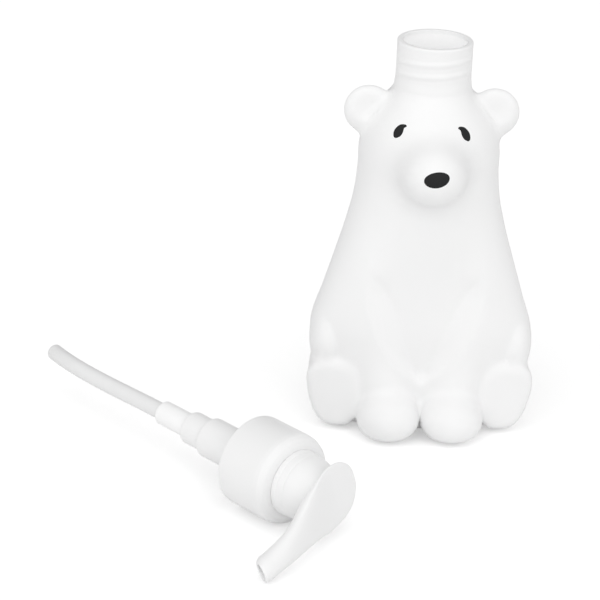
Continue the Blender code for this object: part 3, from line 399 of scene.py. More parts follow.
class PumpSizes(bpy.types.PropertyGroup):
    """Sizes of the lotion pump"""

    closure_radius: length("Closure radius", "Outer radius of the closure", 0.0160)
    closure_height: length("Closure height", "Height of the closure", 0.0216)
    closure_bore: length("Closure bore", "Inner radius of the closure", 0.0144)
    closure_rounding: length("Closure rounding", "Rounding of its top edge", 0.0046)
    thread_height: length("Inner thread", "Height of the closure's inner thread", 0.0004)
    collar_radius: length("Collar radius", "Radius of the chaplet's collar", 0.0083)
    collar_top: length("Collar top", "Top of the collar along the axis", 0.0276)
    housing_radius: length("Housing radius", "Outer radius of the cylinder", 0.0072)
    housing_wall: length("Housing wall", "Wall of the cylinder", 0.0009)
    cup_radius: length("Cup radius", "Outer radius of the spring cup", 0.0059)
    socket_radius: length("Socket radius", "Outer radius of the tube's socket", 0.00435)
    ball_radius: length("Ball radius", "Radius of the check ball", 0.0020)
    tube_radius: length("Tube radius", "Outer radius of the dip tube", 0.0030)
    tube_bore: length("Tube bore", "Inner radius of the dip tube", 0.0022)
    tube_reach: length("Tube reach", "How far the dip tube stands out", 0.0650)
    tube_lean: angle("Tube lean", "First lean of the dip tube", -6.0)
    tube_turn: angle("Tube curl", "Later curl of the dip tube", 15.0)
    stem_radius: length("Stem radius", "Outer radius of the stem", 0.0036)
    stem_bore: length("Stem bore", "Inner radius of the stem", 0.0024)
    plug_radius: length("Plug radius", "Radius of the plug's head", 0.0043)
    spring_radius: length("Spring radius", "Radius of the spring's middle line", 0.0040)
    wire_radius: length("Wire radius", "Radius of the spring's wire", 0.0003)
    spring_turns: bpy.props.IntProperty(
        name="Spring turns", description="Number of turns of the spring", default=6)
    skirt_radius: length("Skirt radius", "Radius of the head's skirt", 0.0117)
    skirt_height: length("Skirt height", "Height of the head's skirt", 0.0145)
    pad_radius: length("Pad radius", "Radius of the finger pad", 0.0118)
    nozzle_reach: length("Nozzle reach", "Reach of the nozzle from the axis", 0.0373)


class FinishSettings(bpy.types.PropertyGroup):
    """Colours and roughness of the finishes"""

    white: paint("White", "Colour of the blown bottle", 0.90, 0.90, 0.90)
    pump_white: paint("Pump white", "Colour of the moulded pump", 0.90, 0.90, 0.90)
    natural: paint("Natural", "Colour of the clear housing", 0.92, 0.92, 0.92)
    socket: paint("Socket", "Colour where the tube stands in its socket", 0.97, 0.97, 0.97)
    tube: paint("Tube", "Colour of the dip tube", 0.84, 0.84, 0.84)
    tube_end: paint("Tube end", "Colour at the dip tube's open end", 0.805, 0.805, 0.805)
    ink: paint("Ink", "Colour of the printed face", 0.012, 0.012, 0.013)
    foam: paint("Foam", "Colour of the gasket", 0.80, 0.80, 0.80)
    steel: paint("Steel", "Colour of the wire and the ball", 0.62, 0.62, 0.64)
    # painted light: strength of the glow on the inner skin, in place of light through the wall
    neck_glow: number("Neck glow", "Light that comes through the bottle's wall", 0.16, "FACTOR")
    satin: number("Satin", "Roughness of the bottle", 0.46, "FACTOR")
    smooth: number("Smooth", "Roughness of the pump", 0.36, "FACTOR")


class StageSettings(bpy.types.PropertyGroup):
    """Light and background"""

    key_power: watts("Key light", "Power of the light overhead", 1.2)
    fill_power: watts("Fill light", "Power of the light at the side", 0.3)
    world_strength: number("World", "Strength of the light from all round", 0.765)
    front_share: number("Front", "How much brighter the light is from the front than from the sides", 0.70)
    top_share: number("Top", "How much brighter the light is from above than from the sides", 0.10)
    floor_light: number("Floor light", "Light that the lit table gives off", 0.05)
    floor_glow: number("Floor glow", "What the camera sees the floor add to its own shade", 0.25)
    floor_colour: paint("Floor", "Colour of the floor", 0.88, 0.88, 0.88)


def unit(vectors):
    """Scales vectors to a length of one."""
    return vectors / np.linalg.norm(vectors, axis=-1, keepdims=True)


def smooth_table(table, place):
    """Reads a table at given places of its first column.

    Between two rows each value is a cubic whose slope at a row is the table's own gradient."""
    table = np.asarray(table)
    knots = table[:, 0]
    slopes = np.gradient(table[:, 1:], knots, axis=0)
    place = np.clip(place, knots[0], knots[-1])
    i = np.clip(np.searchsorted(knots, place) - 1, 0, len(knots) - 2)
    width = knots[i + 1] - knots[i]
    t = ((place - knots[i]) / width)[..., None]
    value = table[i, 1:] * (2 * t**3 - 3 * t**2 + 1) + table[i + 1, 1:] * (3 * t**2 - 2 * t**3)
    return value + width[..., None] * (slopes[i] * (t**3 - 2 * t**2 + t) + slopes[i + 1] * (t**3 - t**2))


def smooth_step(value):
    """Rises from 0 to 1 as 3v squared less 2v cubed, and stays there."""
    value = np.clip(value, 0.0, 1.0)
    return value**2 * (3 - 2 * value)


def raised_cosine(distance):
    """Falls from 1 at a distance of 0 to 0 at 1, as half of 1 + cos pi d."""
    return 0.5 + 0.5 * np.cos(math.pi * np.clip(distance, 0.0, 1.0))


def fillet_join(a, b, blend):
    """Takes the smaller of two fields, less blend times h(1 - h) where they are within it."""
    h = np.clip(0.5 + 0.5 * (b - a) / blend, 0.0, 1.0)
    return b * (1 - h) + a * h - blend * h * (1 - h)


def fillet_cut(a, b, blend):
    """Takes the larger of two fields, with the same fillet turned over."""
    return -fillet_join(-a, -b, blend)


def lump_field(points, centre, radii):
    """Scales the distance from an ellipsoid's centre so that it is true near its surface."""
    radii = np.array(radii)
    near = np.linalg.norm((points - centre) / radii, axis=-1)
    steep = np.linalg.norm((points - centre) / radii**2, axis=-1)
    return near * (near - 1.0) / np.maximum(steep, 1.0)


def limb_field(points, start, end, start_radius, end_radius):
    """Gives the distance to a line between two points, less a radius that runs between two."""
    along = end - start
    share = np.clip(((points - start) @ along) / (along @ along), 0.0, 1.0)
    nearest = start + share[..., None] * along
    return np.linalg.norm(points - nearest, axis=-1) - (start_radius + share * (end_radius - start_radius))


def mirrored(points):
    """Copies points with the bear's left side laid over its right."""
    return np.concatenate([np.abs(points[..., :1]), points[..., 1:]], axis=-1)


class Bear:
    """The bear's form as fields that are roughly the distance to a skin, negative inside."""

    def __init__(self, sizes):
        self.sizes = np.array((sizes.half_width, sizes.half_depth, sizes.shoulder))
        self.wall = sizes.wall
        self.panel_depth = sizes.panel_depth
        self.neck_radius = sizes.neck_radius
        self.ear_radii = (sizes.ear_radius, sizes.ear_half_thickness, sizes.ear_radius)

    def place(self, shares):
        """Turns shares of the body's sizes into a place."""
        return np.array(shares) * self.sizes

    def core(self, points):
        """Trunk and head: superellipses whose sizes follow the table over the height."""
        half_width, half_depth, height = self.sizes
        shares = smooth_table(BODY_SHARES, points[..., 2] / height)
        wide, widest, front, back = np.moveaxis(shares, -1, 0)
        across = points[..., 1] - widest * half_depth
        depth = np.where(across < 0, front, back) * half_depth
        width = wide * half_width
        sides = np.abs(points[..., 0] / width) ** SECTION_POWER + np.abs(across / depth) ** SECTION_POWER
        return (sides ** (1 / SECTION_POWER) - 1.0) * np.minimum(width, depth)

    def hind_leg(self, points):
        """A superellipse carried forward along the leg, cut by a sole that turns out."""
        across = points - self.place(HIND_PLACE_SHARES)
        across[..., 0] += HIND_SPREAD * across[..., 1] - HIND_SLANT * across[..., 2]
        rise = across[..., 2] / HIND_HALF_HEIGHT
        width = HIND_HALF_WIDTH * (1 + HIND_TAPER * np.clip(rise, -1.0, 1.0))
        ring = np.abs(across[..., 0] / width) ** HIND_POWER + np.abs(rise) ** HIND_POWER
        side = (ring ** (1 / HIND_POWER) - 1.0) * HIND_HALF_WIDTH
        sole = -across[..., 1] + HIND_TURN_OUT * across[..., 0]
        heel = across[..., 1] - HIND_LENGTH
        return fillet_cut(side, np.maximum(sole, heel), HIND_EDGE)

    def panel(self, points):
        """Depth of the belly's panel, which grows between a rounded outline and a V inside it.

        Over the height h from its foot to its top, the outline's half width is as 1 - (1 - h)^p
        and the V's as s h + (1 - s) h^q. Towards its top the level middle passes into a dish
        across the chest, which fades out above it."""
        foot, top = PANEL_SHARES
        height = self.sizes[2]
        side = points[..., 0] / PANEL_HALF_WIDTH
        run = np.clip((points[..., 2] / height - foot) / (top - foot), 0.0, 1.0)
        outline = 1 - (1 - run) ** PANEL_POWER
        inner = PANEL_V_SHARE * run + (1 - PANEL_V_SHARE) * run**PANEL_V_POWER
        across = np.clip((outline - side) / np.maximum(outline - inner, SAME_POINT), 0.0, 1.0)
        border = (across + smooth_step(across)) / 2
        dish = smooth_step((1 - side) / CHEST_SIDE_SHARE)
        level = smooth_step((top * height - points[..., 2]) / LEVEL_FADE)
        fade = smooth_step((CHEST_SHARE * height - points[..., 2]) / CHEST_FADE)
        depth = fade * smooth_step(run / PANEL_FOOT_RUN) * border * (dish + (1 - dish) * level)
        return np.where(points[..., 1] < 0, self.panel_depth * depth, 0.0)

    def finished(self, points, field):
        """Adds the muzzle and the neck, and cuts the base with its push-up."""
        muzzle = lump_field(points, self.place(MUZZLE_PLACE_SHARES), MUZZLE_RADII)
        field = fillet_join(field, muzzle, MUZZLE_BLEND)
        neck = np.hypot(points[..., 0], points[..., 1]) - self.neck_radius
        neck = np.maximum(neck, self.sizes[2] * NECK_FOOT_SHARE - points[..., 2])
        field = fillet_join(field, neck, NECK_BLEND)
        field = fillet_cut(field, -points[..., 2], BASE_ROUNDING)
        return fillet_cut(field, -lump_field(points, np.zeros(3), PUSH_UP), PUSH_UP[2])

    def body(self, points):
        """Trunk, arms, panel, haunches, legs, paws, muzzle and neck."""
        points = mirrored(points)
        shoulder, wrist = self.place(SHOULDER_PLACE_SHARES), self.place(WRIST_PLACE_SHARES)
        arm = limb_field(points, shoulder, wrist, SHOULDER_RADIUS, WRIST_RADIUS)
        field = fillet_join(self.core(points), arm, ARM_BLEND) + self.panel(points)
        haunch = lump_field(points, self.place(HAUNCH_PLACE_SHARES), HAUNCH_RADII)
        field = fillet_join(field, haunch, HAUNCH_BLEND)
        field = fillet_join(field, self.hind_leg(points), HIND_BLEND)
        field = fillet_join(field, lump_field(points, self.place(PAW_PLACE_SHARES), PAW_RADII), PAW_BLEND)
        return self.finished(points, field)

    def with_ears(self, points, body):
        """Adds the ears, each a lump with a dish in its front, to the body's field."""
        points = mirrored(points)
        place = self.place(EAR_PLACE_SHARES)
        ear = lump_field(points, place, self.ear_radii)
        dish = lump_field(points, place + DISH_PLACE, DISH_RADII)
        return fillet_join(body, fillet_cut(ear, -dish, DISH_BLEND), EAR_BLEND)

    def skin(self, points):
        """Outer skin, on which each ear is only a low collar."""
        body = self.body(points)
        return np.maximum(self.with_ears(points, body), body - EAR_COLLAR)

    def ear(self, points):
        """The same forms with whole ears, ended inside the wall and sunk a little at the collar."""
        body = self.body(points)
        sink = EAR_SINK * smooth_step(1 - body / EAR_COLLAR)
        return np.maximum(self.with_ears(points, body) + sink, -body - EAR_ROOT_DEPTH)

    def hollow(self, points):
        """Inner skin: a wall inside the trunk, the head and the hind legs."""
        points = mirrored(points)
        field = self.core(points) + self.panel(points)
        field = fillet_join(field, self.hind_leg(points), HIND_BLEND)
        return self.finished(points, field) + self.wall


def normals_of(field, points):
    """Gives a field's outward direction from its differences along the three axes."""
    slopes = [field(points + step) - field(points - step) for step in SLOPE_STEP * np.eye(3)]
    return unit(np.stack(slopes, axis=-1))


def halved(field, origins, directions, inner, outer):
    """Closes in on a field's skin along rays, from a length inside it and one outside."""
    for _ in range(SKIN_HALVINGS):
        middle = (inner + outer) / 2
        outside = field(origins + middle[..., None] * directions) > 0
        outer = np.where(outside, middle, outer)
        inner = np.where(outside, inner, middle)
    return origins + inner[..., None] * directions


def last_hits(field, origins, directions):
    """Finds where rays leave a field's inside for the last time, by steps and then by halving."""
    reach = np.linspace(SKIN_REACH, 0.0, SKIN_STEPS)
    samples = origins[..., None, :] + reach[:, None] * directions[..., None, :]
    first = np.argmax(field(samples) < 0, axis=-1)
    return halved(field, origins, directions, reach[first], reach[np.maximum(first - 1, 0)])


def first_hits(field, origin, directions, reach):
    """Finds where rays from a point inside a field leave it first, by steps and then by halving."""
    steps = np.linspace(0.0, reach, SKIN_STEPS)
    outside = field(origin + steps[:, None] * directions[..., None, :]) > 0
    outside[..., -1] = True
    first = np.maximum(np.argmax(outside, axis=-1), 1)
    return halved(field, origin, directions, steps[first - 1], steps[first])


def settled(field, points):
    """Moves points along the normals by the field's value, twice, so that they lie on it."""
    for _ in range(2):
        points = points - field(points)[..., None] * normals_of(field, points)
    return points


def evened(field, rows, rounds):
    """Moves each sample to the mean of its four neighbours and back onto the skin."""
    for _ in range(rounds):
        beside = np.roll(rows, 1, axis=1)[1:-1] + np.roll(rows, -1, axis=1)[1:-1]
        inner = settled(field, (beside + rows[:-2] + rows[2:]) / 4)
        rows = np.concatenate([rows[:1], inner, rows[-1:]])
    return rows


def widened(rows):
    """Puts a column halfway between each two columns."""
    wide = np.empty((rows.shape[0], 2 * rows.shape[1], 3))
    wide[:, ::2] = rows
    wide[:, 1::2] = (rows + np.roll(rows, -1, axis=1)) / 2
    return wide


def heightened(rows):
    """Puts a row halfway between each two rows."""
    tall = np.empty((2 * rows.shape[0] - 1, rows.shape[1], 3))
    tall[::2] = rows
    tall[1::2] = (rows[1:] + rows[:-1]) / 2
    return tall


def round_points(radius, height, turn):
    """Gives the points r cos t, r sin t, h of rings."""
    return np.stack(np.broadcast_arrays(radius * np.cos(turn), radius * np.sin(turn), height), axis=-1)


def fan_rows(bear, field):
    """Samples a skin from the base's flat ring to the neck's root along a fan of rays.

    The fan turns about a low centre, climbs the axis level, and turns about a high centre."""
    height = bear.sizes[2]
    low, high = LOW_CENTRE_SHARE * height, HIGH_CENTRE_SHARE * height
    angles = np.radians(np.concatenate([
        np.linspace(*LOW_ANGLES, LOW_ROWS), np.zeros(SIDE_ROWS), np.linspace(*HEAD_ANGLES, HEAD_ROWS)]))
    heights = np.concatenate([
        np.full(LOW_ROWS, low), np.linspace(*SIDE_SHARES, SIDE_ROWS) * height, np.full(HEAD_ROWS, high)])
    turn = np.linspace(0.0, math.tau, COARSE_COLUMNS, endpoint=False)
    turn = turn - math.pi / 2 - FACE_CROWDING * np.sin(turn)
    directions = round_points(np.cos(angles)[:, None], np.sin(angles)[:, None], turn)
    origins = np.zeros_like(directions)
    origins[..., 2] = heights[:, None]
    ring = round_points(BASE_RING_SHARE, low, turn)[None] * (*PUSH_UP[:2], 1.0)
    return np.concatenate([last_hits(field, ring, TO_FLOOR), last_hits(field, origins, directions)])


def base_rows(bear, field, ring):
    """Samples the base inside its ring on shrunken copies of it, and in the middle, straight down."""
    origins = ring[None] * np.array(BASE_SHARES)[:, None, None]
    origins[..., 2] = LOW_CENTRE_SHARE * bear.sizes[2]
    rows = last_hits(field, origins, TO_FLOOR)
    return rows[0, 0], rows[1:]


def thread_ridge(height, turn, front, pitch):
    """Shapes a thread's ridge over heights and turns from the front.

    The ridge is a raised cosine across the helix front + pitch x turn / 2 pi. It fades at its ends,
    and at both sides, where the halves of the mould meet."""
    end = THREAD_START_TURN + THREAD_TURNS * math.tau
    ridge = np.zeros(np.broadcast(height, turn).shape)
    for lap in THREAD_LAPS:
        along = turn + lap * math.tau
        across = raised_cosine(np.abs(height - front - pitch * along / math.tau) / THREAD_HALF_WIDTH)
        fade = smooth_step((along - THREAD_START_TURN) / THREAD_FADE) * smooth_step((end - along) / THREAD_FADE)
        ridge = np.maximum(ridge, across * fade)
    return ridge * smooth_step((np.abs(np.cos(turn)) - THREAD_GAP) / THREAD_GAP_FADE)


def neck_rows(sizes, root):
    """Carries the neck's root up to level rings with the thread and the lip, over the rim and down.

    The radius runs from the root's own to the neck's, plus the ridge, and the rim is two quarter arcs."""
    turn = np.arctan2(root[:, 1], root[:, 0])
    first = np.hypot(root[:, 0], root[:, 1])
    top = sizes.shoulder + sizes.neck_height
    share = np.linspace(0.0, 1.0, NECK_ROWS + 1)[1:, None]
    height = root[:, 2] + share * (top - OUTER_RIM_ROUNDING - root[:, 2])
    settle = smooth_step((height - root[:, 2]) / NECK_SETTLE)
    radius = first + settle * (sizes.neck_radius - first)
    front = sizes.shoulder + THREAD_FRONT_HEIGHT
    from_front = np.mod(turn + math.pi / 2 + math.pi, math.tau) - math.pi
    radius = radius + sizes.thread_height * thread_ridge(height, from_front, front, sizes.thread_pitch)
    lip = smooth_step((height - top + NECK_LIP_HEIGHT) / (NECK_LIP_HEIGHT - OUTER_RIM_ROUNDING))
    radius = np.maximum(radius, sizes.neck_radius + NECK_LIP * lip)
    arc = np.linspace(0.0, math.pi / 2, RIM_STEPS)[1:, None]
    over = arc - arc[0]
    outer = sizes.neck_radius + NECK_LIP - OUTER_RIM_ROUNDING
    inner = sizes.neck_bore + INNER_RIM_ROUNDING
    down = np.linspace(top - INNER_RIM_ROUNDING, sizes.shoulder, BORE_ROWS + 1)[1:, None]
    return np.concatenate([
        round_points(radius, height, turn),
        round_points(
            outer + OUTER_RIM_ROUNDING * np.cos(arc), top - OUTER_RIM_ROUNDING * (1 - np.sin(arc)), turn),
        round_points(
            inner - INNER_RIM_ROUNDING * np.sin(over), top - INNER_RIM_ROUNDING * (1 - np.cos(over)), turn),
        round_points(sizes.neck_bore, down, turn),
    ])


def new_mesh(points, quads, triangles):
    """Makes a smooth mesh from arrays of points, quads and triangles."""
    mesh = bpy.data.meshes.new("piece")
    mesh.vertices.add(len(points))
    mesh.vertices.foreach_set("co", np.ascontiguousarray(points, dtype=np.float32).ravel())
    corners = np.concatenate([quads.ravel(), triangles.ravel()])
    sizes = np.concatenate([np.full(len(quads), 4), np.full(len(triangles), 3)])
    mesh.loops.add(len(corners))
    mesh.loops.foreach_set("vertex_index", corners)
    mesh.polygons.add(len(sizes))
    mesh.polygons.foreach_set("loop_start", np.cumsum(sizes) - sizes)
    mesh.polygons.foreach_set("use_smooth", np.ones(len(sizes), dtype=bool))
    mesh.update(calc_edges=True)
    mesh.validate()
    return mesh


def skinned(rows, start=None, end=None):
    """Skins rings laid one after another: a quad between each two points of two neighbouring rings.

    A point closes each end, or, where there are none, the last ring is joined to the first."""
    count, columns = rows.shape[:2]
    points = [rows.reshape(-1, 3)]
    below = np.arange(count * columns).reshape(count, columns)
    if start is None:
        lower, upper = below, np.roll(below, -1, axis=0)
    else:
        lower, upper = below[:-1], below[1:]
        points += [start[None], end[None]]
    quads = np.stack([lower, np.roll(lower, -1, axis=1), np.roll(upper, -1, axis=1), upper], axis=-1)
    triangles = [np.empty((0, 3), dtype=int)]
    if start is not None:
        tips = np.full((2, columns), [[below.size], [below.size + 1]])
        triangles = [
            np.stack([tips[0], np.roll(below[0], -1), below[0]], axis=-1),
            np.stack([tips[1], below[-1], np.roll(below[-1], -1)], axis=-1)]
    return new_mesh(np.concatenate(points), quads.reshape(-1, 4), np.concatenate(triangles))


def rounded(corners):
    """Rounds each corner (radius, height, rounding) of an outline with a parabola.

    It runs from one side to the other as (1-t)^2 a + 2t(1-t) corner + t^2 b, and a point on each
    side of it holds the shade of the flat stretch. Outlines run counter-clockwise."""
    corners = np.asarray(corners, dtype=float)
    points, reach = corners[:, :2], corners[:, 2:]
    before = unit(np.roll(points, 1, axis=0) - points)
    after = unit(np.roll(points, -1, axis=0) - points)
    start, end = points + reach * before, points + reach * after
    t = np.linspace(0.0, 1.0, CORNER_STEPS)[None, :, None]
    curve = (1 - t) ** 2 * start[:, None] + 2 * t * (1 - t) * points[:, None] + t**2 * end[:, None]
    hold = CORNER_HOLD_SHARE * reach
    curve = np.concatenate([(start + hold * before)[:, None], curve, (end + hold * after)[:, None]], axis=1)
    outline = curve.reshape(-1, 2)
    area = np.sum(outline[:, 0] * np.roll(outline[:, 1], -1) - outline[:, 1] * np.roll(outline[:, 0], -1))
    outline = outline if area > 0 else outline[::-1]
    apart = np.linalg.norm(outline - np.roll(outline, 1, axis=0), axis=1) > SAME_POINT
    return outline[apart]


def begun_at(outline, height):
    """Rolls an outline so that it starts on the axis at a height."""
    return np.roll(outline, -np.argmin(np.hypot(outline[:, 0], outline[:, 1] - height)), axis=0)


def dense(outline, step):
    """Adds points to an outline so that none lies further than a step from the next."""
    closed = np.concatenate([outline, outline[:1]])
    run = np.concatenate([[0.0], np.cumsum(np.linalg.norm(np.diff(closed, axis=0), axis=1))])
    counts = np.maximum(np.ceil(np.diff(run) / step).astype(int), 1)
    spots = np.concatenate([a + (b - a) * np.arange(n) / n for a, b, n in zip(run[:-1], run[1:], counts)])
    return np.stack([np.interp(spots, run, closed[:, 0]), np.interp(spots, run, closed[:, 1])], axis=-1)


def curve_through(knots, count, closed=True):
    """Draws a Catmull-Rom curve through knots, at even shares of each stretch."""
    knots = np.asarray(knots, dtype=float)
    if closed:
        padded = np.concatenate([knots[-1:], knots, knots[:2]])
    else:
        padded = np.concatenate([2 * knots[:1] - knots[1:2], knots, 2 * knots[-1:] - knots[-2:-1]])
    spans = len(padded) - 3
    place = np.linspace(0.0, spans, count, endpoint=not closed)
    i = np.minimum(place.astype(int), spans - 1)
    t = (place - i)[:, None]
    a, b, c, d = padded[i], padded[i + 1], padded[i + 2], padded[i + 3]
    return 0.5 * (2 * b + (c - a) * t + (2 * a - 5 * b + 4 * c - d) * t**2 + (3 * b - a - 3 * c + d) * t**3)


def turns(count=TURNED_COLUMNS):
    """Gives evenly spaced turns."""
    return np.linspace(0.0, math.tau, count, endpoint=False)


def on_pump(points, place=PUMP_PLACE, axes=PUMP_AXES):
    """Puts points that are given along the pump's axes into place."""
    return place + points @ axes


def turned(outline):
    """Turns a closed outline about the pump's axis, as a ring of rings."""
    return skinned(on_pump(round_points(outline[:, :1], outline[:, 1:], turns())))


def turned_solid(profile, place=PUMP_PLACE, count=TURNED_COLUMNS):
    """Turns a profile that starts and ends on the axis, with a point at each end."""
    rows = on_pump(round_points(profile[:, :1], profile[:, 1:], turns(count)), place)
    return skinned(rows[1:-1], rows[0, 0], rows[-1, 0])


def hoops(along, out, count):
    """Gives rings of directions about a line, cos t out + sin t (along x out)."""
    turn = turns(count)[:, None]
    return np.cos(turn) * out[:, None] + np.sin(turn) * np.cross(along, out)[:, None]


def sums(operation, turned_over=False):
    """Makes a method that adds a Math node for one sum of a value and another."""
    def add(value, other=0.0):
        terms = (other, value) if turned_over else (value, other)
        return value.nodes.node("ShaderNodeMath", {"operation": operation}, dict(enumerate(terms)))
    return add


class Value:
    """A socket on which sums can be written."""

    def __init__(self, nodes, socket):
        self.nodes = nodes
        self.socket = socket

    __add__ = __radd__ = sums("ADD")
    __sub__ = sums("SUBTRACT")
    __rsub__ = sums("SUBTRACT", turned_over=True)
    __mul__ = __rmul__ = sums("MULTIPLY")
    __truediv__ = sums("DIVIDE")
    __abs__ = sums("ABSOLUTE")
    at_most = sums("MINIMUM")
    at_least = sums("MAXIMUM")


class Nodes:
    """A node tree, whose nodes all come from one method."""

    def __init__(self, tree):
        self.tree = tree

    def node(self, kind, settings=None, sockets=None, output=0):
        """Adds a node: its settings first, then the values or links of its sockets."""
        node = self.tree.nodes.new(kind)
        for setting, value in (settings or {}).items():
            setattr(node, setting, value)
        for socket, value in (sockets or {}).items():
            self.feed(node.inputs[socket], value)
        return Value(self, node.outputs[output])

    def feed(self, socket, value):
        """Links a value to a socket, or sets the socket itself."""
        if isinstance(value, Value):
            self.tree.links.new(value.socket, socket)
        else:
            socket.default_value = value

    def part(self, vector, axis):
        """Gives one of a vector's three parts."""
        return self.node("ShaderNodeSeparateXYZ", {}, {"Vector": vector}, axis)

    def mix(self, factor, first, second):
        """Mixes two colours."""
        return self.node("ShaderNodeMix", {"data_type": "RGBA"}, {0: factor, 6: first, 7: second}, 2)


class Finish(Nodes):
    """A procedural material on the place of the solids."""

    def __init__(self, name):
        self.material = bpy.data.materials.new(name)
        self.material.use_nodes = True
        super().__init__(self.material.node_tree)
        self.shader = self.tree.nodes["Principled BSDF"]
        self.place = self.node("ShaderNodeTexCoord", output="Object")

    def set(self, **inputs):
        """Feeds the shader's sockets, whose names are written with _ for a space."""
        for name, value in inputs.items():
            self.feed(self.shader.inputs[name.replace("_", " ")], value)

    def noise(self, scale, detail=2.0, stretch=(1.0, 1.0, 1.0), roughness=0.5):
        """Gives noise about the middle of 0 and 1, with its size per metre and its stretch."""
        place = self.node(
            "ShaderNodeMapping", {"vector_type": "TEXTURE"}, {"Vector": self.place, "Scale": stretch})
        sockets = {"Vector": place, "Scale": scale, "Detail": detail, "Roughness": roughness}
        return self.node("ShaderNodeTexNoise", {}, sockets)

    def shade(self, colour, factor, amount):
        """Darkens a colour by a share of an amount."""
        dark = tuple(channel * (1 - amount) for channel in colour)
        return self.mix(factor, (*colour, 1.0), (*dark, 1.0))

    def bump(self, height):
        """Raises the surface by a height in metres."""
        self.set(Normal=self.node("ShaderNodeBump", {}, {"Height": height, "Distance": 1.0}, "Normal"))


def blown_plastic(finish, settings):
    """Satin blown plastic: orange peel, faint clouds, handling marks and the mould's parting line.

    On the inner skin a painted glow stands in for light that comes through the wall, most of it near the mouth."""
    clouds = finish.noise(38.0, 3.0)
    peel = finish.noise(900.0, 2.0)
    grain = finish.noise(4200.0, 1.0)
    marks = finish.noise(240.0, 4.0, (1.0, 1.0, 5.0))
    from_line = finish.part(finish.place, "Y") - float(BOTTLE_PLACE[1] - PARTING_SHIFT)
    line = 1 - (abs(from_line) / PARTING_HALF_WIDTH).at_most(1.0)
    upper = ((finish.part(finish.place, "Z") - GLOW_START) / GLOW_RUN).at_least(0.0).at_most(1.0)
    inside = finish.node("ShaderNodeAttribute", {"attribute_name": INNER_SKIN}, output="Fac")
    # painted light: the inner skin glows, most near the mouth, in place of light through the wall
    through = inside * (DEEP_GLOW_SHARE + (1 - DEEP_GLOW_SHARE) * upper)
    finish.set(
        Base_Color=finish.shade(settings.white, clouds, 0.02),
        Roughness=settings.satin - 0.05 + 0.10 * marks,
        Emission_Color=finish.mix(through, (0, 0, 0, 1), (1, 1, 1, 1)), Emission_Strength=settings.neck_glow)
    finish.bump(0.000010 * peel + 0.0000022 * grain + 0.000022 * line)


def moulded_plastic(finish, settings):
    """Smooth injection-moulded plastic: finer skin, flow marks along the pump and light scuffs."""
    flow = finish.noise(60.0, 3.0, (3.0, 3.0, 1.0))
    skin = finish.noise(1500.0, 2.0)
    scuffs = finish.noise(420.0, 5.0, (1.0, 6.0, 1.0), 0.7)
    finish.set(
        Base_Color=finish.shade(settings.pump_white, flow, 0.02),
        Roughness=settings.smooth - 0.04 + 0.09 * scuffs)
    finish.bump(0.000004 * skin + 0.000002 * scuffs)


def clear_plastic(finish, first, second, start, rate):
    """Unpigmented plastic whose colour runs from one to another, cloudy, with fine draw lines.

    The second colour's share grows at a rate below a start along the pump's axis, up to 1."""
    clouds = finish.noise(120.0, 3.0)
    lines = finish.noise(700.0, 2.0)
    along = finish.node(
        "ShaderNodeVectorMath", {"operation": "DOT_PRODUCT"}, {0: finish.place, 1: tuple(PUMP_AXES[2])}, "Value")
    share = ((float(PUMP_PLACE @ PUMP_AXES[2]) + start - along) * rate).at_least(0.0).at_most(1.0)
    tint = finish.mix(share, finish.shade(first, clouds, 0.04), finish.shade(second, clouds, 0.02))
    finish.set(Base_Color=tint, Roughness=0.26 + 0.10 * lines)
    finish.bump(0.000006 * lines)


def housing_plastic(finish, settings):
    """The clear housing, which is whiter where the tube stands in its socket."""
    clear_plastic(finish, settings.natural, settings.socket, CUP_FOOT, SOCKET_RATE)


def tube_plastic(finish, settings):
    """The clear tube, which is a little darker towards its open end."""
    clear_plastic(finish, settings.tube, settings.tube_end, TUBE_END_START, TUBE_END_RATE)


def printed_ink(finish, settings):
    """Pad-printed ink: nearly black, with a fine screen of dots and a dull surface."""
    dots = finish.noise(2600.0, 1.0)
    broad = finish.noise(500.0, 2.0)
    finish.set(
        Base_Color=finish.shade(settings.ink, dots, 0.35),
        Roughness=0.44 + 0.12 * broad, Specular_IOR_Level=0.25)
    finish.bump(0.000006 * dots)


def cell_foam(finish, settings):
    """Closed-cell foam: small round cells that dull and dimple it, with painted shade darkening each cell's pit.
    """
    cells = finish.node("ShaderNodeTexVoronoi", {}, {"Vector": finish.place, "Scale": 2200.0})
    # painted shade: the colour is darker in each cell's pit, where the bump is lowest
    finish.set(Base_Color=finish.shade(settings.foam, 1 - cells.at_most(1.0), 0.12), Roughness=0.82)
    finish.bump(0.00004 * cells)


def drawn_steel(finish, settings):
    """Drawn stainless wire: bright metal with streaks along the draw."""
    streaks = finish.noise(1800.0, 3.0, (1.0, 1.0, 4.0))
    finish.set(
        Base_Color=finish.shade(settings.steel, streaks, 0.18), Metallic=1.0, Roughness=0.18 + 0.14 * streaks)
    finish.bump(0.000002 * streaks)


# The finishes, each with the slot that its pieces go to
FINISHES = {
    "blown_white": (blown_plastic, "white_plastic"),
    "moulded_white": (moulded_plastic, "white_plastic"),
    "natural_clear": (housing_plastic, "natural_plastic"),
    "tube_clear": (tube_plastic, "natural_plastic"),
    "face_ink": (printed_ink, "black_ink"),
    "gasket_cells": (cell_foam, "gasket_foam"),
    "bright_steel": (drawn_steel, "spring_wire"),
}


def add_piece(name, mesh, finish, body, *replaced):
    """Links a finished mesh, sets its finish, and ties it to its body and solids."""
    make, slot = FINISHES[finish]
    if finish not in bpy.data.materials:
        make(Finish(finish), bpy.context.scene.bear_finishes)
    mesh.name = name
    mesh.materials.append(bpy.data.materials[finish])
    piece = bpy.data.objects.new(name, mesh)
    bpy.context.scene.collection.objects.link(piece)
    if body:
        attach(piece, body)
    if replaced:
        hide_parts(*replaced)
    return piece


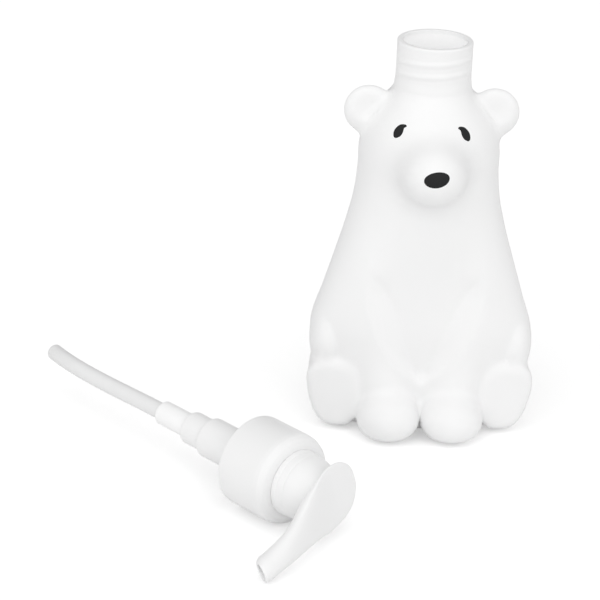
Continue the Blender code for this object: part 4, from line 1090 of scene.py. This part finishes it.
class BEAR_OT_bottle(bpy.types.Operator):
    """Skins the blown bear, outside and inside, with its threaded neck"""

    bl_idname = "bear.bottle"
    bl_label = "Bear bottle"

    def execute(self, context):
        sizes = context.scene.bear_sizes
        bear = Bear(sizes)
        outer = evened(bear.skin, fan_rows(bear, bear.skin), EVEN_ROUNDS[0])
        for rounds in EVEN_ROUNDS[1:]:
            outer = evened(bear.skin, heightened(widened(outer)), rounds)
        inner = evened(bear.hollow, fan_rows(bear, bear.hollow), EVEN_ROUNDS[0])
        inner = evened(bear.hollow, heightened(widened(inner)), EVEN_ROUNDS[1])
        inner = evened(bear.hollow, widened(inner), EVEN_ROUNDS[2])
        start, base = base_rows(bear, bear.skin, outer[0])
        end, floor = base_rows(bear, bear.hollow, inner[0])
        neck = neck_rows(sizes, outer[-1])
        rows = np.concatenate([base, outer, neck, inner[::-1], floor[::-1]])
        mesh = skinned(rows + BOTTLE_PLACE, start + BOTTLE_PLACE, end + BOTTLE_PLACE)
        outside = len(base) + len(outer) + len(neck) - BORE_ROWS
        inside = np.repeat(np.arange(len(rows)) >= outside, rows.shape[1])
        marked = mesh.attributes.new(INNER_SKIN, "FLOAT", "POINT")
        marked.data.foreach_set("value", np.concatenate([inside, [False, True]]).astype(np.float32))
        add_piece("bear_skin", mesh, "blown_white", "bottle", "bear_bottle")
        return {"FINISHED"}


class BEAR_OT_ears(bpy.types.Operator):
    """Skins the two dished ears on rays from their middles"""

    bl_idname = "bear.ears"
    bl_label = "Ears"

    def execute(self, context):
        bear = Bear(context.scene.bear_sizes)
        rise = np.linspace(-math.pi / 2, math.pi / 2, EAR_ROWS)[:, None]
        directions = round_points(np.cos(rise), np.sin(rise), turns(EAR_COLUMNS))[..., [1, 2, 0]]
        for name, side in (("ear_left", -1), ("ear_right", 1)):
            middle = bear.place(EAR_PLACE_SHARES) * (side, 1, 1)
            rows = first_hits(bear.ear, middle, directions, EAR_REACH) + BOTTLE_PLACE
            add_piece(name, skinned(rows[1:-1], rows[0, 0], rows[-1, 0]), "blown_white", "bottle")
        return {"FINISHED"}


def eye_outline(sizes, side):
    """Scales the eye's shares and mirrors them for the other side."""
    outline = curve_through(EYE_SHARES, PRINT_POINTS) * sizes.eye_length
    outline[:, 0] = -side * (outline[:, 0] - sizes.eye_side) + sizes.eye_shift
    outline[:, 1] += sizes.eye_height
    return outline if side < 0 else outline[::-1]


def nose_outline(sizes):
    """Draws a turned oval, a cos t and b sin t, that leans to one side."""
    turn = turns(PRINT_POINTS)
    z = np.sin(turn) * sizes.nose_half_height
    x = np.cos(turn) * sizes.nose_half_width + sizes.nose_lean * z
    c, s = math.cos(sizes.nose_tilt), math.sin(sizes.nose_tilt)
    return np.stack([c * x - s * z, s * x + c * z + sizes.nose_height], axis=-1)


class BEAR_OT_prints(bpy.types.Operator):
    """Throws the printed eyes and nose straight back onto the face, as thin closed pads"""

    bl_idname = "bear.prints"
    bl_label = "Printed face"

    def execute(self, context):
        sizes = context.scene.bear_prints
        skin = Bear(context.scene.bear_sizes).skin
        outlines = {
            "eye_print_left": eye_outline(sizes, -1),
            "eye_print_right": eye_outline(sizes, 1),
            "nose_print": nose_outline(sizes),
        }
        rings = np.linspace(0.0, PRINT_EDGE_SHARE, PRINT_RINGS)
        shares = np.concatenate([rings, [1.0, 1.0], rings[::-1]])[:, None, None]
        lifts = np.repeat((sizes.lift, sizes.lift / 2, -PRINT_BURIED), (PRINT_RINGS, 1, PRINT_RINGS + 1))
        for name, outline in outlines.items():
            middle = outline.mean(axis=0)
            origins = np.insert(middle + shares * (outline - middle), 1, 0.0, axis=-1)
            hits = last_hits(skin, origins, TO_FRONT)
            rows = hits + lifts[:, None, None] * normals_of(skin, hits) + BOTTLE_PLACE
            mesh = skinned(rows[1:-1], rows[0, 0], rows[-1, 0])
            add_piece(name + "_ink", mesh, "face_ink", "bottle", name)
        return {"FINISHED"}


class BEAR_OT_closure(bpy.types.Operator):
    """Turns the smooth closure and cuts its inner thread"""

    bl_idname = "bear.closure"
    bl_label = "Closure"

    def execute(self, context):
        sizes = context.scene.bear_pump
        top, radius, bore = sizes.closure_height, sizes.closure_radius, sizes.closure_bore
        outline = dense(rounded([
            (CLOSURE_HOLE, top, 0.0004), (CLOSURE_HOLE, CEILING, 0.0002), (bore, CEILING, 0.0008),
            (bore, 0.0, 0.0004), (radius, 0.0, 0.0005), (radius, top, sizes.closure_rounding),
        ]), OUTLINE_STEP)
        across, height = outline[:, :1], outline[:, 1:]
        turn = turns()
        pitch = context.scene.bear_sizes.thread_pitch
        ridge = thread_ridge(height, turn - math.pi, CLOSURE_THREAD_FRONT, pitch)
        inside = (across < bore + TOUCH_GAP) & (height < CEILING)
        mesh = skinned(on_pump(round_points(across - sizes.thread_height * ridge * inside, height, turn)))
        add_piece("closure_shell", mesh, "moulded_white", "closure", "closure")
        return {"FINISHED"}


class BEAR_OT_seals(bpy.types.Operator):
    """Turns the chaplet with its collar, and the foam gasket"""

    bl_idname = "bear.seals"
    bl_label = "Chaplet and gasket"

    def execute(self, context):
        sizes = context.scene.bear_pump
        top = CEILING - TOUCH_GAP
        bore = sizes.stem_radius + TOUCH_GAP
        plug = sizes.housing_radius - sizes.housing_wall - TOUCH_GAP
        collar, collar_top = sizes.collar_radius, sizes.collar_top
        chaplet = rounded([
            (bore, collar_top, 0.0004), (bore, CHAPLET_FOOT, 0.0002), (plug, CHAPLET_FOOT, 0.0005),
            (plug, CHAPLET_FLANGE_FOOT, 0.0001), (FLANGE_RADIUS, CHAPLET_FLANGE_FOOT, 0.0003),
            (FLANGE_RADIUS, top, 0.0003), (collar, top, 0.0002), (collar, collar_top, 0.0006),
        ])
        add_piece("chaplet_collar", turned(chaplet), "moulded_white", "pump", "chaplet")
        inner = sizes.housing_radius + TOUCH_GAP
        gasket = rounded([
            (inner, GASKET_TOP, 0.0003), (inner, GASKET_FOOT, 0.0003),
            (FLANGE_RADIUS, GASKET_FOOT, 0.0004), (FLANGE_RADIUS, GASKET_TOP, 0.0004),
        ])
        add_piece("gasket_ring", turned(gasket), "gasket_cells", "pump", "gasket")
        return {"FINISHED"}


class BEAR_OT_housing(bpy.types.Operator):
    """Turns the stepped pump cylinder with its socket, and the ball on its seat"""

    bl_idname = "bear.housing"
    bl_label = "Housing and ball"

    def execute(self, context):
        sizes = context.scene.bear_pump
        outer, cup, socket = sizes.housing_radius, sizes.cup_radius, sizes.socket_radius
        bore, cup_bore = outer - sizes.housing_wall, cup - sizes.housing_wall
        chamber, hole = sizes.ball_radius + BALL_ROOM, sizes.tube_radius + TOUCH_GAP
        housing = rounded([
            (bore, HOUSING_TOP, 0.0003), (bore, STEP_TOP, 0.0006), (cup_bore, STEP_BORE_FOOT, 0.0006),
            (cup_bore, CUP_FLOOR, 0.0004), (UPPER_PORT, CUP_FLOOR, 0.0002), (UPPER_PORT, BALL_STOP, 0.0001),
            (chamber, CUP_FOOT, 0.0003), (chamber, SEAT_TOP, 0.0003), (LOWER_PORT, SEAT_BOTTOM, 0.0003),
            (LOWER_PORT, SHELF, 0.0002), (hole, SHELF, 0.0002), (hole, SOCKET_FOOT, 0.0002),
            (socket, SOCKET_FOOT, 0.0006), (socket, CUP_FOOT, 0.0005), (cup, CUP_FOOT, 0.0007),
            (cup, STEP_HEIGHT, 0.0004), (outer, STEP_HEIGHT, 0.0007), (outer, HOUSING_FLANGE_FOOT, 0.0003),
            (FLANGE_RADIUS, HOUSING_FLANGE_FOOT, 0.0003), (FLANGE_RADIUS, HOUSING_TOP, 0.0003),
        ])
        add_piece("pump_cylinder", turned(housing), "natural_clear", "pump", "housing")
        middle = np.mean(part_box("check_ball"), axis=0)
        arc = np.linspace(-math.pi / 2, math.pi / 2, BALL_ROWS)
        profile = sizes.ball_radius * np.stack([np.cos(arc), np.sin(arc)], axis=-1)
        ball = turned_solid(profile, middle, BALL_COLUMNS)
        add_piece("steel_ball", ball, "bright_steel", "ball", "check_ball")
        return {"FINISHED"}


class BEAR_OT_plunger(bpy.types.Operator):
    """Turns the piston with its two lips, the hollow stem and the plug in its foot"""

    bl_idname = "bear.plunger"
    bl_label = "Piston, stem and plug"

    def execute(self, context):
        sizes = context.scene.bear_pump
        hub, rod, head = sizes.stem_bore, sizes.stem_radius, sizes.plug_radius
        outer = sizes.housing_radius - sizes.housing_wall - PISTON_PLAY
        waist, inner = outer - PISTON_WAIST, outer - PISTON_WALL
        web = (PISTON_FOOT + PISTON_TOP - PISTON_WEB) / 2
        piston = rounded([
            (inner, PISTON_TOP, 0.0002), (inner, web + PISTON_WEB, 0.0004), (hub, web + PISTON_WEB, 0.0002),
            (hub, web, 0.0002), (inner, web, 0.0004), (inner, PISTON_FOOT, 0.0002),
            (outer, PISTON_FOOT, 0.0002), (outer, PISTON_FOOT + PISTON_LIP, 0.0002),
            (waist, PISTON_FOOT + PISTON_LIP_RUN, 0.0004), (waist, PISTON_TOP - PISTON_LIP_RUN, 0.0004),
            (outer, PISTON_TOP - PISTON_LIP, 0.0002), (outer, PISTON_TOP, 0.0002),
        ])
        add_piece("lipped_piston", turned(piston), "natural_clear", "plunger", "piston")
        stem = rounded([(hub, STEM_TOP, 0.0003), (hub, STEM_FOOT, 0.0003), (rod, STEM_FOOT, 0.0003),
                        (rod, STEM_TOP, 0.0003)])
        add_piece("hollow_stem", turned(stem), "moulded_white", "head", "stem")
        shank = hub - TOUCH_GAP
        plug = rounded([
            (0.0, STEP_HEIGHT, 0.0), (head, STEP_HEIGHT, 0.0005), (head, PLUG_HEAD_TOP, 0.0004),
            (shank, PLUG_HEAD_TOP, 0.0002), (shank, PLUG_TOP, 0.0006), (0.0, PLUG_TOP, 0.0),
        ])
        plug = turned_solid(begun_at(plug, STEP_HEIGHT))
        add_piece("valve_plug", plug, "moulded_white", "head", "stem_plug")
        return {"FINISHED"}


class BEAR_OT_spring(bpy.types.Operator):
    """Winds the return spring, whose turns lie closer at both ends"""

    bl_idname = "bear.spring"
    bl_label = "Spring"

    def execute(self, context):
        sizes = context.scene.bear_pump
        low = CUP_FLOOR + TOUCH_GAP + sizes.wire_radius
        high = STEP_HEIGHT - TOUCH_GAP - sizes.wire_radius
        share = np.linspace(0.0, 1.0, sizes.spring_turns * SPRING_STEPS_ROUND + 1)
        turn = share * math.tau * sizes.spring_turns
        height = low + (high - low) * (share - SPRING_CLOSING * np.sin(math.tau * share) / math.tau)
        line = round_points(sizes.spring_radius, height, turn)
        wire = hoops(unit(np.gradient(line, axis=0)), round_points(1.0, 0.0, turn), WIRE_COLUMNS)
        rows = on_pump(line[:, None] + sizes.wire_radius * wire)
        ends = on_pump(line[[0, -1]])
        spring = add_piece("wound_spring", skinned(rows, *ends), "bright_steel", None, "spring")
        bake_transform(spring)
        return {"FINISHED"}


class BEAR_OT_tube(bpy.types.Operator):
    """Sweeps the curled dip tube, bored from end to end, with a small lip at each edge"""

    bl_idname = "bear.tube"
    bl_label = "Dip tube"

    def execute(self, context):
        sizes = context.scene.bear_pump
        run = np.linspace(0.0, 1.0, TUBE_ROWS)
        lean, curl = math.tan(sizes.tube_lean), math.tan(sizes.tube_turn)
        side = sizes.tube_reach * (lean * run**2 + curl * run**3 / 2)
        straight = np.linspace(SHELF - TOUCH_GAP, SOCKET_FOOT, TUBE_SOCKET_ROWS)[:-1]
        height = np.concatenate([straight, SOCKET_FOOT - sizes.tube_reach * run])
        line = np.stack([0 * height, np.concatenate([0 * straight, side]), height], axis=-1)
        along = unit(np.gradient(line, axis=0))
        rings = hoops(along, np.broadcast_to((1.0, 0.0, 0.0), along.shape), TUBE_COLUMNS)
        down = np.arange(len(line))
        steps = np.concatenate([down[:1], down, down[-1:]])
        steps = np.concatenate([steps, steps[::-1]])
        flare = np.zeros(len(steps) // 2)
        flare[[0, -1]] = TUBE_LIP
        radius = np.concatenate([sizes.tube_radius - flare, sizes.tube_bore + flare])
        inset = np.zeros(len(flare))
        inset[1], inset[-2] = TUBE_LIP, -TUBE_LIP
        shift = np.concatenate([inset, inset[::-1]])
        places = line[steps] + shift[:, None] * along[steps]
        rows = on_pump(places[:, None] + radius[:, None, None] * rings[steps])
        add_piece("curled_tube", skinned(rows), "tube_clear", "pump", "dip_tube")
        return {"FINISHED"}


def head_axes(sizes):
    """Turns the pump's axes so that the nozzle's tip meets the table beside the closure."""
    tip = HEAD_SHARES[-1][0] * sizes.nozzle_reach
    reach = math.hypot(tip, NOZZLE_TIP_HALF_WIDTH)
    lean = math.atan2(NOZZLE_TIP_HALF_WIDTH, tip)
    roll = -(lean + math.acos((sizes.closure_radius - TOUCH_GAP) / reach))
    c, s = math.cos(roll), math.sin(roll)
    return np.array(((c, s, 0.0), (-s, c, 0.0), (0.0, 0.0, 1.0))) @ PUMP_AXES


def head_rows(sizes, turn):
    """Lofts the pad and nozzle: ring x(s), (w cos t, m + h sin t to a power), with w squared from the table.

    Towards the tip x falls back by the slant times the depth below the top."""
    table = np.array(HEAD_SHARES)
    table[:, 1] = table[:, 1] ** 2
    share = smooth_step(np.linspace(0.0, 1.0, HEAD_ROWS_ALONG)[1:])
    place = table[0, 0] + share * (table[-1, 0] - table[0, 0])
    width, top, under = np.moveaxis(smooth_table(table, place), -1, 0)[:, :, None]
    width = np.sqrt(np.maximum(width, 0.0)) * sizes.pad_radius
    high, low = PAD_HEIGHT + top * NOZZLE_RISE, PAD_HEIGHT + under * NOZZLE_RISE
    roundness = np.clip(place / NOZZLE_ROUND_SHARE, 0.0, 1.0)[:, None]
    power = PAD_TOP_POWER + (1.0 - PAD_TOP_POWER) * roundness
    middle = low + (high - low) * (PAD_MIDDLE_SHARE + (NOZZLE_MIDDLE_SHARE - PAD_MIDDLE_SHARE) * roundness)
    sine = np.sin(turn)
    rise = np.sign(sine) * np.abs(sine) ** np.where(sine > 0, power, 1.0)
    z = middle + np.where(rise > 0, (high - middle) * rise, (middle - low) * rise)
    slant = TIP_SLANT * smooth_step((place[:, None] - TIP_SLANT_PLACE) / (table[-1, 0] - TIP_SLANT_PLACE))
    x = place[:, None] * sizes.nozzle_reach - slant * (high - z)
    return np.stack([x, width * np.cos(turn), z], axis=-1)


def mouth_rows(tip, turn):
    """Bores the nozzle from the middle of its tip, along a slope and square to its slanted face."""
    depth, radius = np.array(MOUTH_PROFILE).T[:, :, None]
    rise = radius * np.sin(turn)
    return np.stack([
        tip[0] - depth + TIP_SLANT * rise, radius * np.cos(turn), tip[2] - MOUTH_FALL * depth + rise], axis=-1)


def skirt_profile(sizes):
    """Draws half of the skirt's section, from the stem's socket round the boss and the foot to its top.

    Each groove round it is a raised cosine."""
    roof = HEAD_FOOT + sizes.skirt_height
    ceiling, socket_top = roof - SKIRT_ROOF, STEM_TOP + TOUCH_GAP
    outer, socket = sizes.skirt_radius, sizes.stem_radius + TOUCH_GAP
    shares = curve_through(SKIRT_SHARES, SKIRT_ROWS, closed=False)
    rise = shares[:, 0] * sizes.skirt_height
    cut = GROOVE_DEPTH * sum(raised_cosine(np.abs(rise - groove) / GROOVE_HALF_WIDTH) for groove in SKIRT_GROOVES)
    outside = np.stack([shares[:, 1] * outer - cut, HEAD_FOOT + rise], axis=-1)
    inside = begun_at(rounded([
        (0.0, socket_top, 0.0), (socket, socket_top, 0.0003), (socket, BOSS_FOOT, 0.0003),
        (BOSS_RADIUS, BOSS_FOOT, 0.0003), (BOSS_RADIUS, ceiling, 0.0005), (outer - SKIRT_WALL, ceiling, 0.0005),
        (outer - SKIRT_WALL, HEAD_FOOT, 0.0003), (outer - SKIRT_RIM, HEAD_FOOT, 0.0003), (0.0, roof, 0.0),
    ]), socket_top)
    last = np.argmin(np.hypot(inside[:, 0], inside[:, 1] - roof))
    return np.concatenate([inside[:last], outside, [(0.0, roof)]])


class BEAR_OT_head(bpy.types.Operator):
    """Lofts the spoon-shaped head with its bored nozzle, and turns its skirt"""

    bl_idname = "bear.head"
    bl_label = "Pump head"

    def execute(self, context):
        sizes = context.scene.bear_pump
        axes = head_axes(sizes)
        turn = turns(HEAD_COLUMNS)
        rows = head_rows(sizes, turn)
        mouth = mouth_rows(rows[-1].mean(axis=0), turn)
        back, _, height, _ = HEAD_SHARES[0]
        start = np.array((back * sizes.nozzle_reach, 0.0, PAD_HEIGHT + height * NOZZLE_RISE))
        ends = on_pump(np.array((start, mouth[-1].mean(axis=0))), axes=axes)
        mesh = skinned(on_pump(np.concatenate([rows, mouth]), axes=axes), *ends)
        add_piece("spoon_head", mesh, "moulded_white", "head", "actuator")
        add_piece("head_skirt", turned_solid(skirt_profile(sizes)), "moulded_white", "head")
        return {"FINISHED"}


def add_lamp(name, place, target, size, power):
    """Adds a soft square lamp that looks at a target."""
    lamp = bpy.data.lights.new(name, "AREA")
    lamp.size = size
    lamp.energy = power
    light = bpy.data.objects.new(name, lamp)
    light.location = place
    light.rotation_euler = (Vector(target) - Vector(place)).to_track_quat("-Z", "Y").to_euler()
    bpy.context.scene.collection.objects.link(light)


def camera_axes():
    """Gives the view's right, up and back, from its pitch, roll and turn."""
    forward = np.array((0.0, math.cos(CAMERA_PITCH), -math.sin(CAMERA_PITCH)))
    right = np.array((1.0, 0.0, 0.0))
    down = np.cross(forward, right)
    c, s = math.cos(CAMERA_ROLL), math.sin(CAMERA_ROLL)
    right, down = c * right + s * down, -s * right + c * down
    c, s = math.cos(CAMERA_TURN), math.sin(CAMERA_TURN)
    spin = np.array(((c, s, 0.0), (-s, c, 0.0), (0.0, 0.0, 1.0)))
    return spin @ right, -(spin @ down), -(spin @ forward)


class BEAR_OT_stage(bpy.types.Operator):
    """Lays the white floor, hangs the lamps and sets the camera"""

    bl_idname = "bear.stage"
    bl_label = "Stage"

    def execute(self, context):
        scene = context.scene
        stage = scene.bear_stage
        scene.view_settings.view_transform = "Standard"

        corners = np.array(((-1, -1), (1, -1), (1, 1), (-1, 1))) * FLOOR_REACH
        mesh = new_mesh(
            np.insert(corners, 2, FLOOR_HEIGHT, axis=1), np.arange(4)[None], np.empty((0, 3), dtype=int))
        mesh.name = "floor"
        floor = bpy.data.objects.new("floor", mesh)
        scene.collection.objects.link(floor)
        paper = Finish("white_paper")
        grain = paper.noise(900.0, 3.0)
        paper.set(Base_Color=paper.shade(stage.floor_colour, grain, 0.01), Roughness=0.9, Specular_IOR_Level=0.2)
        strength = stage.floor_light + stage.floor_glow * paper.node("ShaderNodeLightPath", output="Is Camera Ray")
        glow = paper.node("ShaderNodeEmission", {}, {"Color": (1, 1, 1, 1), "Strength": strength})
        both = paper.node("ShaderNodeAddShader", {}, {0: glow, 1: Value(paper, paper.shader.outputs[0])})
        paper.feed(paper.tree.nodes["Material Output"].inputs["Surface"], both)
        floor.data.materials.append(paper.material)

        world = bpy.data.worlds.new("studio")
        scene.world = world
        world.use_nodes = True
        sky = Nodes(world.node_tree)
        towards = sky.node("ShaderNodeTexCoord", output="Generated")
        behind, above = sky.part(towards, "Y"), sky.part(towards, "Z")
        light = stage.world_strength * (1 - stage.front_share * behind + stage.top_share * above)
        seen = sky.node("ShaderNodeLightPath", output="Is Camera Ray")
        background = sky.tree.nodes["Background"]
        sky.feed(background.inputs["Color"], (1.0, 1.0, 1.0, 1.0))
        sky.feed(background.inputs["Strength"],
                 sky.node("ShaderNodeMix", {}, {"Factor": seen, "A": light, "B": 1.0}, "Result"))

        for name, place, target, size in LAMPS:
            add_lamp(name, place, target, size, getattr(stage, name + "_power"))

        lens = bpy.data.cameras.new("view")
        lens.lens = CAMERA_LENS
        lens.sensor_width = SENSOR
        camera = bpy.data.objects.new("view", lens)
        turn = Matrix(camera_axes()).transposed().to_4x4()
        camera.matrix_world = Matrix.Translation(BOTTLE_PLACE + CAMERA_FROM_BOTTLE) @ turn
        scene.collection.objects.link(camera)
        scene.camera = camera
        return {"FINISHED"}


class BEAR_PT_pieces(bpy.types.Panel):
    """Lists the pieces and the sizes that they take"""

    bl_idname = "BEAR_PT_pieces"
    bl_label = "Bear bottle"
    bl_space_type = "VIEW_3D"
    bl_region_type = "UI"
    bl_category = "Bear bottle"

    def draw(self, context):
        for operator in OPERATORS:
            self.layout.operator(operator.bl_idname)
        for name in GROUPS:
            box = self.layout.box()
            group = getattr(context.scene, name)
            box.label(text=group.bl_rna.description)
            for size in group.bl_rna.properties:
                if size.identifier not in ("rna_type", "name"):
                    box.prop(group, size.identifier)


GROUPS = {
    "bear_sizes": BearSizes,
    "bear_prints": PrintSizes,
    "bear_pump": PumpSizes,
    "bear_finishes": FinishSettings,
    "bear_stage": StageSettings,
}
OPERATORS = (
    BEAR_OT_bottle, BEAR_OT_ears, BEAR_OT_prints, BEAR_OT_closure, BEAR_OT_seals, BEAR_OT_housing,
    BEAR_OT_plunger, BEAR_OT_spring, BEAR_OT_tube, BEAR_OT_head, BEAR_OT_stage,
)


def register():
    """Registers the groups, the operators and the panel."""
    for cls in (*GROUPS.values(), *OPERATORS, BEAR_PT_pieces):
        bpy.utils.register_class(cls)
    for name, group in GROUPS.items():
        setattr(bpy.types.Scene, name, bpy.props.PointerProperty(type=group))


def unregister():
    """Takes them out again."""
    for name in GROUPS:
        delattr(bpy.types.Scene, name)
    for cls in (BEAR_PT_pieces, *reversed(OPERATORS), *reversed(GROUPS.values())):
        bpy.utils.unregister_class(cls)


def main():
    """Makes every piece and the stage."""
    register()
    for operator in OPERATORS:
        group, name = operator.bl_idname.split(".")
        getattr(getattr(bpy.ops, group), name)()


if __name__ == "__main__":
    main()
